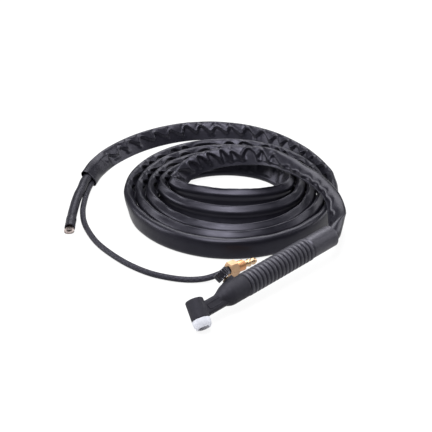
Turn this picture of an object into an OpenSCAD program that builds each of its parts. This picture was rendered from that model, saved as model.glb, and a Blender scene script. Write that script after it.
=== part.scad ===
// Gas-cooled TIG welding torch with its cable set, lying beside its own coiled cable.
// All sizes are in millimetres, +Z is up and the part stands on Z = 0.

/* [Torch head] */
// Diameter of the rubber covered head
head_d = 23.4; // [21:0.1:27]
// Rubber above the neck axis, measured along the head
head_above = 15.6; // [13:0.1:24]
// Rubber below the neck axis, down to the cup gasket
head_below = 10.8; // [9.5:0.1:16]
// Angle between the head axis and the handle axis
head_angle = 106; // [96:1:116]
// Distance from the handle front to the head axis
head_reach = 79; // [70:1:100]
// Diameter of the brass head core
core_d = 16; // [14:0.1:17]
// Diameter of the straight bore through the head core
core_bore_d = 8; // [6:0.1:8.4]
// Major diameter of the collet body thread and the back cap thread
head_thread_d = 9.5; // [8.6:0.1:10.5]
// Depth of each thread in the head core
head_thread_depth = 9; // [6:0.5:10]

/* [Cup gasket] */
// Length of the white cup gasket
gasket_len = 11; // [9:0.1:14]
// Diameter of the gasket at its open end
gasket_end_d = 19.6; // [18.5:0.1:21]
// Wall of the gasket round its open end
gasket_wall = 1.5; // [1:0.1:1.8]
// Depth of the open cup in the gasket
gasket_cup_depth = 6; // [4:0.1:7]
// Diameter of the core nose that carries the gasket
nose_d = 13; // [11.5:0.1:13.6]

/* [Neck and body] */
// Height of the neck
neck_h = 18.4; // [15:0.1:21]
// Width of the neck
neck_w = 15; // [13:0.1:19]
// Drop of the neck centre below the handle axis
neck_drop = 1.8; // [0:0.1:2.2]
// Largest diameter of the flared body
flare_d = 30; // [28:0.1:33]
// Length of the full width part of the flared body
flare_full = 26; // [22:0.5:30]
// Length over which the neck opens out into the flare
flare_taper = 24; // [18:0.5:30]
// Length of the spigot that carries the handle
spigot_len = 14; // [8:0.5:20]

/* [Handle] */
// Length of the handle
handle_len = 161.5; // [150:0.5:180]
// Diameter over the handle ribs
rib_d = 31; // [29.5:0.1:34]
// Distance from rib to rib
rib_pitch = 6.8; // [5.5:0.1:7.2]
// Number of ribs
rib_count = 17; // [8:1:20]
// Depth of the groove between ribs
rib_groove = 1.5; // [0.8:0.1:1.8]
// Diameter of the plain rear of the handle
rear_d = 29.2; // [28:0.1:31]
// Bore of the handle
handle_bore_d = 24.6; // [24:0.1:25.2]

/* [Gas valve] */
// Distance from the handle front to the valve axis
valve_back = 12.9; // [12:0.1:15]
// Lean of the valve axis towards the head
valve_lean = 12; // [6:1:16]
// Diameter of the valve boss on the body
boss_d = 17; // [14:0.1:18.6]
// Height of the boss above the handle axis
boss_h = 18; // [17:0.1:19]
// Diameter of the valve knob
knob_d = 19.4; // [17:0.1:24]
// Height of the valve knob
knob_h = 10.8; // [9:0.1:14]
// Gap between the boss and the knob
knob_gap = 2.4; // [2:0.1:4]
// Number of grip flutes round the knob
flute_count = 18; // [8:1:24]
// Diameter of the valve spindle
spindle_d = 5; // [4:0.1:5.6]
// Diameter of the brass gland
gland_d = 11; // [10:0.1:11.6]
// Diameter of the brass valve block
block_d = 18; // [16:0.1:19.4]
// Length of the brass valve block
block_len = 23; // [21:0.5:24]

/* [Cables] */
// Outer diameter of the power cable
power_d = 11; // [9:0.1:11.2]
// Outer diameter of the gas hose
hose_d = 8; // [6:0.1:8.2]
// Bore of the gas hose
hose_bore_d = 5; // [4.5:0.1:5.4]
// Height of the flattened cable sleeve
sleeve_h = 29; // [27:0.1:29]
// Thickness of the flattened cable sleeve
sleeve_t = 11.6; // [11.2:0.1:11.8]
// Diameter of the sleeve where it enters the handle
sleeve_root_d = 22.6; // [18:0.1:22.8]

/* [Cable coil] */
// Half width of the coil where its first turn starts
coil_first = 74; // [73:0.5:80]
// Growth of the coil's half width with each turn
coil_pitch = 14.6; // [14.4:0.1:16]
// Extra reach of the coil to the back with each turn
coil_deepen = 4.5; // [2:0.1:8]
// How far the inner turns are drawn back at the front
coil_dent = 31.5; // [0:0.5:32]
// Room added round the second turn
coil_room = 1.2; // [0.8:0.1:3]

/* [Cable lug] */
// Width of the lug's flat tongue
lug_w = 14; // [12:0.1:15]
// Thickness of the tongue
lug_t = 2.4; // [1.5:0.1:3]
// Diameter of the stud hole
lug_hole_d = 8.4; // [6.4:0.1:9]
// Length of the tongue beyond the shrink tube
lug_tongue = 15; // [15:0.5:26]
// Diameter of the shrink tube on the lug
shrink_d = 12.6; // [12:0.1:15]
// Length of the shrink tube
shrink_len = 30; // [20:0.5:34]

/* [Gas fitting] */
// Width across flats of the hose nut
nut_af = 19; // [17:0.1:22]
// Length of the hose nut
nut_len = 11.5; // [10:0.1:14]
// Diameter of the opening that the hose runs into
nut_mouth_d = 11.2; // [9.4:0.1:12]
// Diameter of the thread inside the nut
nut_thread_d = 13.2; // [12.8:0.1:14]
// Diameter of the fitting body
union_d = 14.6; // [14:0.1:16]
// Length of the fitting body beyond the nut
union_len = 12.5; // [10:0.1:18]
// Diameter of the plug nipple's neck
nipple_d = 8.4; // [7:0.1:9]
// Diameter of the nipple's locking ring
nipple_ring_d = 10.6; // [9.6:0.1:12]

/* [Hidden] */
$fn = 64;
// Clearance of fixed pieces inside one another
fit = 0.05;
// Radial clearance of pieces that turn or slide
run = 0.05;

// Placing of the torch: rolled about the handle axis until the gasket rim is the lowest point,
// with the rear of the handle held up by its cable.
torch_roll = -50;
torch_tilt = 3.05;
head_lean = head_angle - 90;
gasket_end = head_below + gasket_len;
gasket_lip = 0.4;
head_dz = -cos(head_lean) * cos(torch_roll) * cos(torch_tilt) - sin(head_lean) * sin(torch_tilt);
head_drop = -(gasket_end - gasket_lip) * head_dz + gasket_end_d / 2 * sqrt(1 - head_dz * head_dz);
torch_z = head_drop + head_reach * sin(torch_tilt);
torch_shift = 7.33;
torch_x = (head_reach - handle_len) / 2 + torch_shift;
torch_y = -3.295;

// Placing of the coil frame: +X runs across the coil, +Y to its far side.
coil_turn = -43.9;
coil_inset = 28.4;
coil_reach = 188.4;
coil_x = torch_x + handle_len * cos(torch_tilt) - coil_inset;
coil_y = torch_y + coil_reach;

// Sizes inside the head
core_top = head_above - 2.6;
nose_len = gasket_len - gasket_cup_depth - 0.6;
neck_tube_d = 8;
neck_tube_bore = 5;
neck_tube_front = -head_reach + core_bore_d / 2 + 2.2;

// Sizes of the body, the valve block and the valve, measured along their axes
block_front = -block_len - 1;
block_rear = -1;
tube_seat = 4;
gas_bore = 3;
seat_z = 2.2;
chamber_d = 7;
gland_root = 5;
oring_wire = 1.7;
oring_floor = 12;
oring_pocket_d = spindle_d + 2.4;
groove_d = spindle_d - 1.1;
gland_top = boss_h + knob_gap - 0.6;
knob_z = boss_h + knob_gap;
knob_hub_d = 8.6;
knob_hub_z = gland_top + 1.6;
knob_wall = 1.7;
knob_top = knob_z + knob_h;
screw_head_d = 4.4;
screw_d = 2.4;
screw_sink = 2.6;
spindle_top = knob_top - screw_sink - 0.4;

// Sizes of the cable ends in the handle
stack_gap = 1;
power_z = (hose_d + stack_gap) / 2;
gas_z = -(power_d + stack_gap) / 2;
spigot_bore_d = handle_bore_d - 3.2;
stud_d = 6;
stud_len = 6;
barrel_d = power_d - 0.6;
conductor_d = power_d - 3;
barrel_end = 30;
barb_d = hose_bore_d - 0.2;
barb_end = 16;
barb_stud_d = 4;
clip_wall = 0.7;
sleeve_plug_len = 13;
sleeve_start = handle_len - sleeve_plug_len;
lead_end = sleeve_start - 0.2;
clip_len = 7;
conductor_start = 10;

// Rear rim of the handle
rim_round = 1.2;

function unit(v) = v / norm(v);
function lerp(a, b, t) = a + (b - a) * t;
function smooth(t) = t <= 0 ? 0 : t >= 1 ? 1 : t * t * (3 - 2 * t);

// ---- placing modules ----
module torch() {
    translate([torch_x, torch_y, torch_z]) rotate([0, -torch_tilt, 0]) rotate([torch_roll, 0, 0])
        children();
}
module along_head() {
    translate([-head_reach, 0, 0]) rotate([0, 180 + head_lean, 0]) children();
}
module along_handle() {
    rotate([0, 90, 0]) children();
}
module along_valve() {
    translate([-valve_back, 0, 0]) rotate([0, -valve_lean, 0]) children();
}
module coil_frame() {
    translate([coil_x, coil_y, 0]) rotate([0, 0, coil_turn]) children();
}

// A ring or tube from z0 to z1
module tube(z0, z1, d, bore) {
    translate([0, 0, z0]) difference() {
        cylinder(h = z1 - z0, d = d);
        translate([0, 0, -1]) cylinder(h = z1 - z0 + 2, d = bore);
    }
}
// A solid rod from z0 to z1
module rod(z0, z1, d) {
    translate([0, 0, z0]) cylinder(h = z1 - z0, d = d);
}

// ---- torch head and body ----
module flare_profile() {
    neck_r = neck_w / 2;
    full = flare_d / 2;
    steps = 8;
    x0 = -flare_full - flare_taper;
    curve = [for (i = [0 : steps]) let (t = i / steps)
        [lerp(neck_r, full, smooth(t)), x0 + flare_taper * t]];
    polygon(concat([[0, x0]], curve, [[full, -2], [full - 0.6, 0], [0, 0]]));
}
module neck_section() {
    corner = 3.5;
    union() {
        square([neck_h, neck_w - 2 * corner], center = true);
        square([neck_h - 2 * corner, neck_w], center = true);
        for (x = [-1, 1], y = [-1, 1])
            translate([x * (neck_h / 2 - corner), y * (neck_w / 2 - corner)])
                circle(r = corner, $fn = 24);
    }
}
module head_shell() {
    r = head_d / 2;
    edge = 1.6;
    arc = [for (i = [0 : 4]) let (a = 90 * i / 4) [r - edge + edge * cos(a), edge * (1 - sin(a))]];
    along_head() translate([0, 0, -head_above])
        rotate_extrude() polygon(concat([[0, 0], [0, head_above + head_below],
            [r, head_above + head_below]], arc));
}
module body_moulding() {
    color([0.16, 0.16, 0.18]) torch() difference() {
        union() {
            head_shell();
            along_handle() translate([neck_drop, 0, -head_reach])
                linear_extrude(head_reach - flare_full) neck_section();
            along_handle() rotate_extrude() flare_profile();
            along_handle() rod(-1, spigot_len, handle_bore_d - 2 * fit);
            along_valve() rod(0, boss_h, boss_d);
        }
        along_head() rod(-core_top - fit, head_below + 1, core_d + 2 * fit);
        along_head() rod(-head_above - 1, 0, core_d - 4);
        along_handle() rod(-head_reach, block_front + 1, neck_tube_d + 2 * fit);
        along_handle() rod(block_front - fit, 0, block_d + 2 * fit);
        along_handle() rod(block_rear, spigot_len + 1, spigot_bore_d);
        along_valve() rod(0, boss_h + 1, gland_d + 2 * fit);
    }
}
module head_core() {
    color([0.80, 0.58, 0.36]) torch() difference() {
        union() {
            along_head() rod(-core_top, head_below, core_d);
            along_head() rod(head_below - 1, head_below + nose_len, nose_d);
        }
        along_head() rod(-core_top - 1, head_below + nose_len + 1, core_bore_d);
        along_head() rod(-core_top - 1, head_thread_depth - core_top, head_thread_d);
        along_head() rod(head_below + nose_len - head_thread_depth, head_below + nose_len + 1,
            head_thread_d);
        along_handle() rod(neck_tube_front - fit, 0, neck_tube_d + 2 * fit);
        along_handle() rod(-head_reach, 0, neck_tube_bore);
    }
}
module cup_gasket() {
    root_r = head_d / 2 - 0.1;
    end_r = gasket_end_d / 2;
    color([0.94, 0.95, 0.97]) torch() along_head() difference() {
        translate([0, 0, head_below]) rotate_extrude()
            polygon([[0, 0], [root_r, 0], [root_r, gasket_len * 0.45],
                [lerp(root_r, end_r, 0.35), gasket_len * 0.75], [end_r, gasket_len - gasket_lip],
                [end_r - gasket_lip, gasket_len], [0, gasket_len]]);
        rod(head_below - 1, gasket_end, nose_d + 2 * fit);
        rod(gasket_end - gasket_cup_depth, gasket_end + 1, gasket_end_d - 2 * gasket_wall);
    }
}
module neck_tube() {
    color([0.78, 0.47, 0.30]) torch() along_handle()
        tube(neck_tube_front, block_front + tube_seat - fit, neck_tube_d, neck_tube_bore);
}

// ---- gas valve ----
module valve_block() {
    color([0.80, 0.62, 0.34]) torch() difference() {
        along_handle() rod(block_front, block_rear, block_d);
        along_handle() rod(block_front - 1, block_front + tube_seat, neck_tube_d + 2 * fit);
        along_valve() rod(gas_z, block_d, gas_bore);
        along_valve() rod(seat_z, block_d, chamber_d);
        translate([block_front + tube_seat - 0.5, 0, 1]) rotate([0, 60, 0]) cylinder(h = 7, d = 2.4);
        along_valve() rod(gland_root - fit, block_d, gland_d + 2 * fit);
        translate([0, 0, power_z]) along_handle()
            rod(block_rear - stud_len - fit, 1, stud_d + 2 * fit);
        translate([0, 0, gas_z]) along_handle()
            rod(block_rear - stud_len - fit, 1, barb_stud_d + 2 * fit);
        translate([0, 0, gas_z]) along_handle() rod(-valve_back + 1, block_rear, 2.4);
    }
}
module valve_gland() {
    color([0.80, 0.62, 0.34]) torch() along_valve() difference() {
        rod(gland_root, gland_top, gland_d);
        rod(gland_root - 1, gland_top + 1, spindle_d + 2 * run);
        rod(oring_floor, gland_top + 1, oring_pocket_d);
    }
}
module valve_spindle() {
    seat_r = gas_bore / 2 - 0.03;
    slope = 0.6;
    tip = (spindle_d / 2 - seat_r) / slope;
    color([0.82, 0.68, 0.42]) torch() along_valve() difference() {
        union() {
            translate([0, 0, seat_z]) rotate_extrude()
                polygon([[0, -1], [seat_r - slope, -1], [spindle_d / 2, tip],
                    [spindle_d / 2, tip + 0.5], [0, tip + 0.5]]);
            rod(seat_z + tip + 0.2, oring_floor + 0.1, spindle_d);
            rod(oring_floor, oring_floor + oring_wire + 0.3, groove_d);
            rod(oring_floor + oring_wire + 0.25, spindle_top, spindle_d);
        }
        rod(spindle_top - 5, spindle_top + 1, screw_d + 2 * fit);
    }
}
module spindle_oring() {
    ring_r = (groove_d + oring_wire) / 2 + 0.03;
    color([0.12, 0.12, 0.13]) torch() along_valve()
        translate([0, 0, oring_floor + oring_wire / 2 + 0.15]) rotate_extrude()
            translate([ring_r, 0]) circle(d = oring_wire, $fn = 24);
}
module valve_knob() {
    flute_d = 1.9;
    color([0.15, 0.15, 0.17]) torch() along_valve() difference() {
        translate([0, 0, knob_z]) rotate_extrude()
            polygon([[0, 0], [knob_d / 2 - 0.4, 0], [knob_d / 2, 0.5], [knob_d / 2, knob_h - 1.4],
                [knob_d / 2 - 1.2, knob_h], [0, knob_h]]);
        difference() {
            rod(knob_z - 1, knob_z + knob_h / 2, knob_d - 2 * flute_d - 2 * knob_wall + 1.9);
            rod(knob_hub_z, knob_top, knob_hub_d);
        }
        rod(knob_z - 1, knob_top - screw_sink - 0.4 + fit, spindle_d + 2 * fit);
        rod(knob_z, knob_top + 1, screw_d + 2 * fit);
        rod(knob_top - screw_sink, knob_top + 1, screw_head_d + 0.4);
        for (i = [0 : flute_count - 1]) rotate([0, 0, i * 360 / flute_count])
            translate([knob_d / 2 + 0.35, 0, knob_z + 1]) cylinder(h = knob_h, d = flute_d, $fn = 24);
    }
}
module knob_screw() {
    color([0.75, 0.76, 0.78]) torch() along_valve() difference() {
        union() {
            rod(spindle_top - 4.6, knob_top - screw_sink + 0.1, screw_d);
            rod(knob_top - screw_sink, knob_top - screw_sink + 1.5, screw_head_d);
        }
        translate([-screw_head_d, -0.35, knob_top - screw_sink + 0.9])
            cube([2 * screw_head_d, 0.7, 2]);
    }
}

// ---- cable ends inside the handle ----
module power_connector() {
    color([0.78, 0.47, 0.30]) torch() translate([0, 0, power_z]) along_handle() difference() {
        union() {
            rod(block_rear - stud_len, block_rear, stud_d);
            rod(block_rear, barrel_end, barrel_d);
        }
        rod(8, barrel_end + 1, conductor_d + 2 * fit);
        rod(block_rear - stud_len - 1, 8, gas_bore);
    }
}
module gas_barb() {
    step = 4.5;
    color([0.80, 0.62, 0.34]) torch() translate([0, 0, gas_z]) along_handle() difference() {
        union() {
            rod(block_rear - stud_len, block_rear + 1, barb_stud_d);
            rod(block_rear, 1.4, hose_d - 0.4);
            rod(1, barb_end, barb_d - 0.8);
            for (i = [0 : 2]) translate([0, 0, 3 + i * step])
                cylinder(h = 2.6, d1 = barb_d, d2 = barb_d - 0.8);
        }
        rod(block_rear - stud_len - 1, barb_end + 1, 2);
    }
}
module hose_clip() {
    color([0.74, 0.75, 0.77]) torch() translate([0, 0, gas_z]) along_handle()
        tube(spigot_len + 1, spigot_len + 1 + clip_len, hose_d + 2 * clip_wall, hose_d + 2 * fit);
}
module power_cable_lead() {
    color([0.13, 0.13, 0.15]) torch() translate([0, 0, power_z]) along_handle() union() {
        rod(conductor_start, barrel_end + 1, conductor_d);
        rod(barrel_end, lead_end, power_d);
    }
}
module gas_hose_lead() {
    color([0.10, 0.10, 0.11]) torch() translate([0, 0, gas_z]) along_handle()
        tube(1.6, lead_end, hose_d, hose_bore_d);
}

// ---- handle ----
function rib_points(i) =
    let (r = rib_d / 2, g = r - rib_groove, x = i * rib_pitch, w = rib_pitch)
    [[g, x + 0.06 * w], [r - 0.55, x + 0.17 * w], [r, x + 0.34 * w],
     [r, x + 0.66 * w], [r - 0.55, x + 0.83 * w], [g, x + 0.94 * w]];
module handle() {
    ribbed = rib_count * rib_pitch;
    rear_r = rear_d / 2;
    bore_r = handle_bore_d / 2;
    ribs = [for (i = [0 : rib_count - 1]) each rib_points(i)];
    color([0.19, 0.19, 0.21]) torch() along_handle() rotate_extrude()
        polygon(concat([[bore_r, 0], [rib_d / 2 - rib_groove, 0]], ribs,
            [[rear_r, ribbed + 0.6], [rear_r, handle_len - rim_round],
             [rear_r - rim_round, handle_len], [bore_r, handle_len]]));
}

// ---- cable sleeve: lead, coil and open outer turn ----
coil_centre_x = 18;
coil_centre_y = 45;
rings_per_turn = 24;
first_ring = 12;
last_ring = 122;
lead_points = [handle_point(sleeve_start), handle_point(handle_len),
    [156.5, -107, 35], [160.5, -93, 36], [162, -76, 37], [161.5, -56, 38], [159, -35, 39.5],
    [154, -13, 40.5], [146, 9, 41], [134.5, 30, 41.3], [119, 52, 41.8], [102, 72, 42.3],
    [85, 91, 42.8], [64, 106, 42], [38, 116, 39.5], [9, 118.5, 36], [-19, 114, 31.6],
    [-42, 103, 25.6], [-55.5, 87, 19]];
// Outward lean of the sleeve at each of these points
lead_lean = [0, 0, 8, 25, 50, 62, 60, 56, 52, 48, 45, 40, 35, 31, 25, 19, 14, 11, 10];
// Open outer turn, from the coil's right side round the back to the cut end of the sleeve
free_points = [
    [129, 163], [99, 201], [64, 230], [21, 248], [-26, 251], [-72, 238], [-116, 209],
    [-152, 168], [-173, 127], [-183, 90]];
free_lean = [18, 18, 18, 20, 22, 24, 26, 28, 30, 32];
// Outward lean of the coil round its back and sides and its inward lean at the front, both
// against the turn, and how far the leaning turns come in
coil_lean = 18;
back_lean = [[0.5, 10], [1.6, 12], [2.7, coil_lean], [5.1, coil_lean]];
front_lean = [[0.75, -10], [1.75, -20], [2.75, -20], [3.75, -14], [4.75, -8]];
lean_in = 4.2;

// Point of the handle axis at distance x behind the handle front, in the coil frame
function handle_point(x) =
    let (a = torch_x + x * cos(torch_tilt) - coil_x, b = torch_y - coil_y)
    [a * cos(coil_turn) + b * sin(coil_turn), b * cos(coil_turn) - a * sin(coil_turn),
     torch_z + x * sin(torch_tilt)];

// Reach of the coil across, to the front and to the back at turn n, and the middle of a turn
function reach_side(n) = coil_first + coil_pitch * n + coil_room * smooth((n - 1.6) / 0.5);
function turn_mid(n) = coil_centre_y + 12.5 * max(0, 2.5 - n);
function reach_back(n) = reach_side(n) + coil_deepen * (n - 1.25) + coil_centre_y - turn_mid(n);
function reach_front(n) = reach_side(n) + coil_deepen * (n - 1)
    - coil_dent * max(0, 2.8 - n) - coil_centre_y + turn_mid(n);
function coil_point(n) =
    let (a = 360 * n, s = sin(a),
         side = reach_side(n), deep = s > 0 ? reach_back(n) : reach_front(n))
    [coil_centre_x + side * cos(a), turn_mid(n) + deep * s, sleeve_h / 2];
function coil_lean_at(n) =
    let (k = smooth((sin(360 * n) + 0.75) / 0.75)) lerp(lookup(n, front_lean), lookup(n, back_lean), k);
coil_points = [for (i = [first_ring : last_ring]) coil_point(i / rings_per_turn)];
free_turn = [for (p = free_points) [p[0], p[1], sleeve_h / 2]];
sleeve_path = concat(lead_points, coil_points, free_turn);
last_dir = unit(sleeve_path[len(sleeve_path) - 1] - sleeve_path[len(sleeve_path) - 2]);

// Direction of a path at point i
function path_dir(p, i) = unit(p[min(i + 1, len(p) - 1)] - p[max(i - 1, 0)]);
// One ring of a swept tube: the section's points carried to the path
function ring(at, dir, section) =
    let (side = unit(cross(dir, [0, 0, 1])), up = cross(side, dir))
    [for (q = section) at + side * q[0] + up * q[1]];
// Six sided section of the sleeve, with a ridge on top and a flat to lie on
function sleeve_section(i) =
    let (k = smooth((i - 1) / 4), h = lerp(sleeve_root_d, sleeve_h, k) / 2,
         t = lerp(sleeve_root_d - 2, sleeve_t, k) / 2)
    [[0, h], [t, 0.42 * h], [t, -0.5 * h], [0.3 * t, -h], [-0.3 * t, -h], [-t, -0.1 * h]];
function lean(section, a) =
    [for (q = section) [q[0] * cos(a) + q[1] * sin(a), q[1] * cos(a) - q[0] * sin(a)]];
sleeve_lean = concat(lead_lean,
    [for (i = [first_ring : last_ring]) coil_lean_at(i / rings_per_turn)], free_lean);
// Share of the lead that already comes down to the floor, and how far ring i comes in
function stands(i) = smooth((i - 11) / 7);
function inward(i, a) = let (left = len(sleeve_path) - 1 - i)
    lean_in * min(1, max(0, sin(a)) / sin(10)) * (1 - 1.5 * smooth((6 - left) / 6));
// Move that brings the leaning section in and keeps its lower edge on the floor
function settle(i, dir, a) =
    let (side = unit(cross(dir, [0, 0, 1])),
         down = sleeve_h / 2 * (1 - cos(a)) - 0.15 * sleeve_t * abs(sin(a)))
    -stands(i) * (side * inward(i, a) + [0, 0, down]);
sleeve_mid = [for (i = [0 : len(sleeve_path) - 1])
    sleeve_path[i] + settle(i, path_dir(sleeve_path, i), sleeve_lean[i])];
sleeve_rings = [for (i = [0 : len(sleeve_path) - 1])
    ring(sleeve_mid[i], path_dir(sleeve_path, i), lean(sleeve_section(i), sleeve_lean[i]))];

module sweep(rings) {
    n = len(rings);
    m = len(rings[0]);
    points = [for (r = rings) each r];
    sides = [for (i = [0 : n - 2], j = [0 : m - 1]) let (k = (j + 1) % m)
        each [[i * m + j, i * m + k, (i + 1) * m + k], [i * m + j, (i + 1) * m + k, (i + 1) * m + j]]];
    first = [for (j = [1 : m - 2]) [0, j + 1, j]];
    last = [for (j = [1 : m - 2]) [(n - 1) * m, (n - 1) * m + j, (n - 1) * m + j + 1]];
    polyhedron(points = points, faces = concat(sides, first, last), convexity = 10);
}
module cable_sleeve() {
    color([0.17, 0.17, 0.19]) coil_frame() sweep(sleeve_rings);
}
// Least gap between the sleeve and itself: the corners and mid edges of each ring against the
// lines between rings of the turn outside it, and the crossing lead against every turn below it.
function ring_gap(a, b) = min([for (p = a, q = b) norm(p - q)]);
function to_edge(p, a, b) = let (e = b - a, t = max(0, min(1, (p - a) * e / (e * e))))
    norm(p - a - t * e);
function fuller(r) = [for (i = [0 : len(r) - 1]) each [r[i], (r[i] + r[(i + 1) % len(r)]) / 2]];
turn_gap = min([for (i = [len(lead_points) - 2 : len(sleeve_rings) - 1 - rings_per_turn + 3])
    let (a = fuller(sleeve_rings[i]))
    each [for (j = [i + rings_per_turn - 3 : min(i + rings_per_turn + 3, len(sleeve_rings) - 2)])
        let (b = fuller(sleeve_rings[j]), c = fuller(sleeve_rings[j + 1]))
        min([for (p = a, k = [0 : len(b) - 1]) to_edge(p, b[k], c[k])])]]);
lead_gap = min([for (i = [3 : len(lead_points) - 1],
    j = [len(lead_points) + 8 : len(sleeve_rings) - 1]) ring_gap(sleeve_rings[i], sleeve_rings[j])]);
echo(least_gap_between_turns = turn_gap, least_gap_under_lead = lead_gap);

// ---- tails of the cable set ----
sleeve_end = sleeve_mid[len(sleeve_mid) - 1];
end_up = ring([0, 0, 0], last_dir, lean([[0, 1]], sleeve_lean[len(sleeve_lean) - 1]))[0];
power_out = sleeve_end + 5 * end_up;
hose_out = sleeve_end - 6.6 * end_up;
power_points = [
    [-191, 58, 17], [-194, 44, 13.6], [-197, 29, 9.6], [-198.8, 13, 6.8], [-200, -2, 6.3],
    [-200.4, -14, 6.3]];
hose_points = [
    [-187, 55, 6.4], [-188, 32, 4.5], [-187.5, 8, 4.1], [-183, -22, 4.1], [-174, -52, 4.1],
    [-160, -83, 4.1], [-140, -112, 4.1], [-115, -140, 4.1], [-87, -162, 4.1], [-60, -174, 4.1],
    [-36, -179, 4.1], [-16, -178.5, 5.2], [-1, -174.5, 7.6]];
lug_turn = -90;
lug_at = [-200.4, -16, 6.3];
shrink_wall = 0.8;

function circle_section(d, sides) =
    [for (i = [0 : sides - 1]) [d / 2 * sin(360 * (i + 0.5) / sides), d / 2 * cos(360 * (i + 0.5) / sides)]];
// Power cable tail: out of the sleeve, down to the floor and straight into the shrink tube
lug_dir = [cos(lug_turn), sin(lug_turn), 0];
power_path = concat([power_out, power_out + power_d * last_dir], power_points, [lug_at]);
module power_cable_tail() {
    color([0.13, 0.13, 0.15]) coil_frame()
        sweep([for (i = [0 : len(power_path) - 1])
            let (d = i == len(power_path) - 1 ? lug_dir : i == 0 ? last_dir : path_dir(power_path, i))
            ring(power_path[i], d, circle_section(power_d, 12))]);
}

// ---- gas fitting ----
fitting_turn = 36;
fitting_at = [16.5, -164, nut_af / 2];
fitting_dir = [cos(fitting_turn), sin(fitting_turn), 0];
hose_stop = 3;
shoulder = nut_len - 6;
collar_end = shoulder + 2;
seal_t = 1;
union_start = collar_end + seal_t;
union_end = nut_len + union_len;
hose_in = fitting_at + hose_stop * fitting_dir;
hose_path = concat([hose_out, hose_out + hose_d * last_dir], hose_points,
    [hose_in - 14 * fitting_dir, hose_in]);
module gas_hose_tail() {
    color([0.10, 0.10, 0.11]) coil_frame()
        sweep([for (i = [0 : len(hose_path) - 1])
            let (d = i >= len(hose_path) - 2 ? fitting_dir : i == 0 ? last_dir : path_dir(hose_path, i))
            ring(hose_path[i], d, circle_section(hose_d, 10))]);
}
module on_fitting() {
    coil_frame() translate(fitting_at) rotate([0, 0, fitting_turn]) rotate([0, 90, 0]) children();
}
module hose_nut() {
    color([0.82, 0.58, 0.38]) on_fitting() difference() {
        intersection() {
            rotate([0, 0, 30]) cylinder(h = nut_len, d = nut_af / cos(30), $fn = 6);
            rotate_extrude() polygon([[0, 0], [nut_af / 2, 0], [nut_af / 2 + 1.6, 1.1],
                [nut_af / 2 + 1.6, nut_len - 0.8], [nut_af / 2, nut_len], [0, nut_len]]);
        }
        rod(-1, nut_len, nut_mouth_d);
        rod(shoulder, nut_len + 1, nut_thread_d + 2 * run);
    }
}
module hose_tailpiece() {
    color([0.80, 0.62, 0.34]) on_fitting() difference() {
        union() {
            rod(hose_stop, shoulder + 1, nut_mouth_d - 2);
            rod(shoulder + 0.1, collar_end, nut_thread_d - 0.4);
        }
        rod(hose_stop - 1, collar_end + 1, 4);
    }
}
module fitting_seal() {
    color([0.20, 0.20, 0.21]) on_fitting() tube(collar_end, union_start, nut_thread_d - 1, 4.4);
}
module fitting_body() {
    bevel = 0.8;
    color([0.80, 0.50, 0.30]) on_fitting() difference() {
        union() {
            rod(union_start, nut_len + 1, nut_thread_d);
            translate([0, 0, nut_len + 0.3]) rotate_extrude()
                polygon([[0, 0], [union_d / 2 - bevel, 0], [union_d / 2, bevel],
                    [union_d / 2, union_len - 0.3 - bevel], [union_d / 2 - bevel, union_len - 0.3],
                    [0, union_len - 0.3]]);
        }
        rod(union_start - 1, union_end + 1, 4);
        rod(union_end - 6 - fit, union_end + 1, nipple_d - 1.4 + 2 * fit);
    }
}
module plug_nipple() {
    neck = 5.6;
    ring_r = nipple_ring_d / 2;
    color([0.86, 0.74, 0.42]) on_fitting() translate([0, 0, union_end]) difference() {
        rotate_extrude() polygon([[0, -6], [nipple_d / 2 - 0.7, -6], [nipple_d / 2 - 0.7, 0],
            [nipple_d / 2, 0], [nipple_d / 2, neck], [ring_r - 0.9, neck + 0.6], [ring_r, neck + 1.6],
            [ring_r, neck + 3.4], [ring_r - 0.9, neck + 4.6], [ring_r - 1.9, neck + 5.2],
            [ring_r - 1.9, neck + 7], [ring_r - 0.7, neck + 8], [ring_r - 0.7, neck + 11],
            [ring_r - 1.6, neck + 12.6], [ring_r - 2.2, neck + 14.4], [0, neck + 14.4]]);
        rod(-7, neck + 16, 3.6);
    }
}

// ---- cable lug ----
module on_lug() {
    coil_frame() translate(lug_at) rotate([0, 0, lug_turn]) rotate([0, 90, 0]) children();
}
module lug_shrink_tube() {
    color([0.12, 0.12, 0.14]) on_lug() difference() {
        rod(0, shrink_len, shrink_d);
        rod(shrink_len - 12, shrink_len + 1, shrink_d - 2 * shrink_wall);
        rod(-1, shrink_len, conductor_d + 1.6 + 2 * fit);
    }
}
module cable_lug() {
    barrel = conductor_d + 1.6;
    tongue_start = shrink_len - 6;
    inside = shrink_d - 2 * shrink_wall - 2 * fit;
    lug_neck = sqrt(inside * inside - lug_t * lug_t);
    color([0.84, 0.70, 0.62]) on_lug() difference() {
        union() {
            rod(0, tongue_start, barrel);
            translate([0, 0, tongue_start - 4]) linear_extrude(lug_tongue + 10 - lug_w / 2)
                square([lug_t, lug_neck], center = true);
            translate([0, 0, tongue_start + lug_tongue + 6 - lug_w / 2]) rotate([0, 90, 0])
                cylinder(h = lug_t, d = lug_w, center = true);
        }
        translate([0, 0, tongue_start + lug_tongue + 6 - lug_w / 2]) rotate([0, 90, 0])
            cylinder(h = lug_t + 2, d = lug_hole_d, center = true);
    }
}

body_moulding();
head_core();
cup_gasket();
neck_tube();
valve_block();
valve_gland();
valve_spindle();
spindle_oring();
valve_knob();
knob_screw();
power_connector();
gas_barb();
hose_clip();
power_cable_lead();
gas_hose_lead();
handle();
cable_sleeve();
power_cable_tail();
gas_hose_tail();
lug_shrink_tube();
cable_lug();
hose_nut();
hose_tailpiece();
fitting_seal();
fitting_body();
plug_nipple();
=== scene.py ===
"""Gas cooled TIG torch beside its coiled cable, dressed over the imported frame.

Sizes in the classes are in millimetres. Each sub-assembly works out its surfaces as numpy grids in
its own plain frame, and a matrix of Layout carries them into the row frame, in metres.
"""

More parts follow.
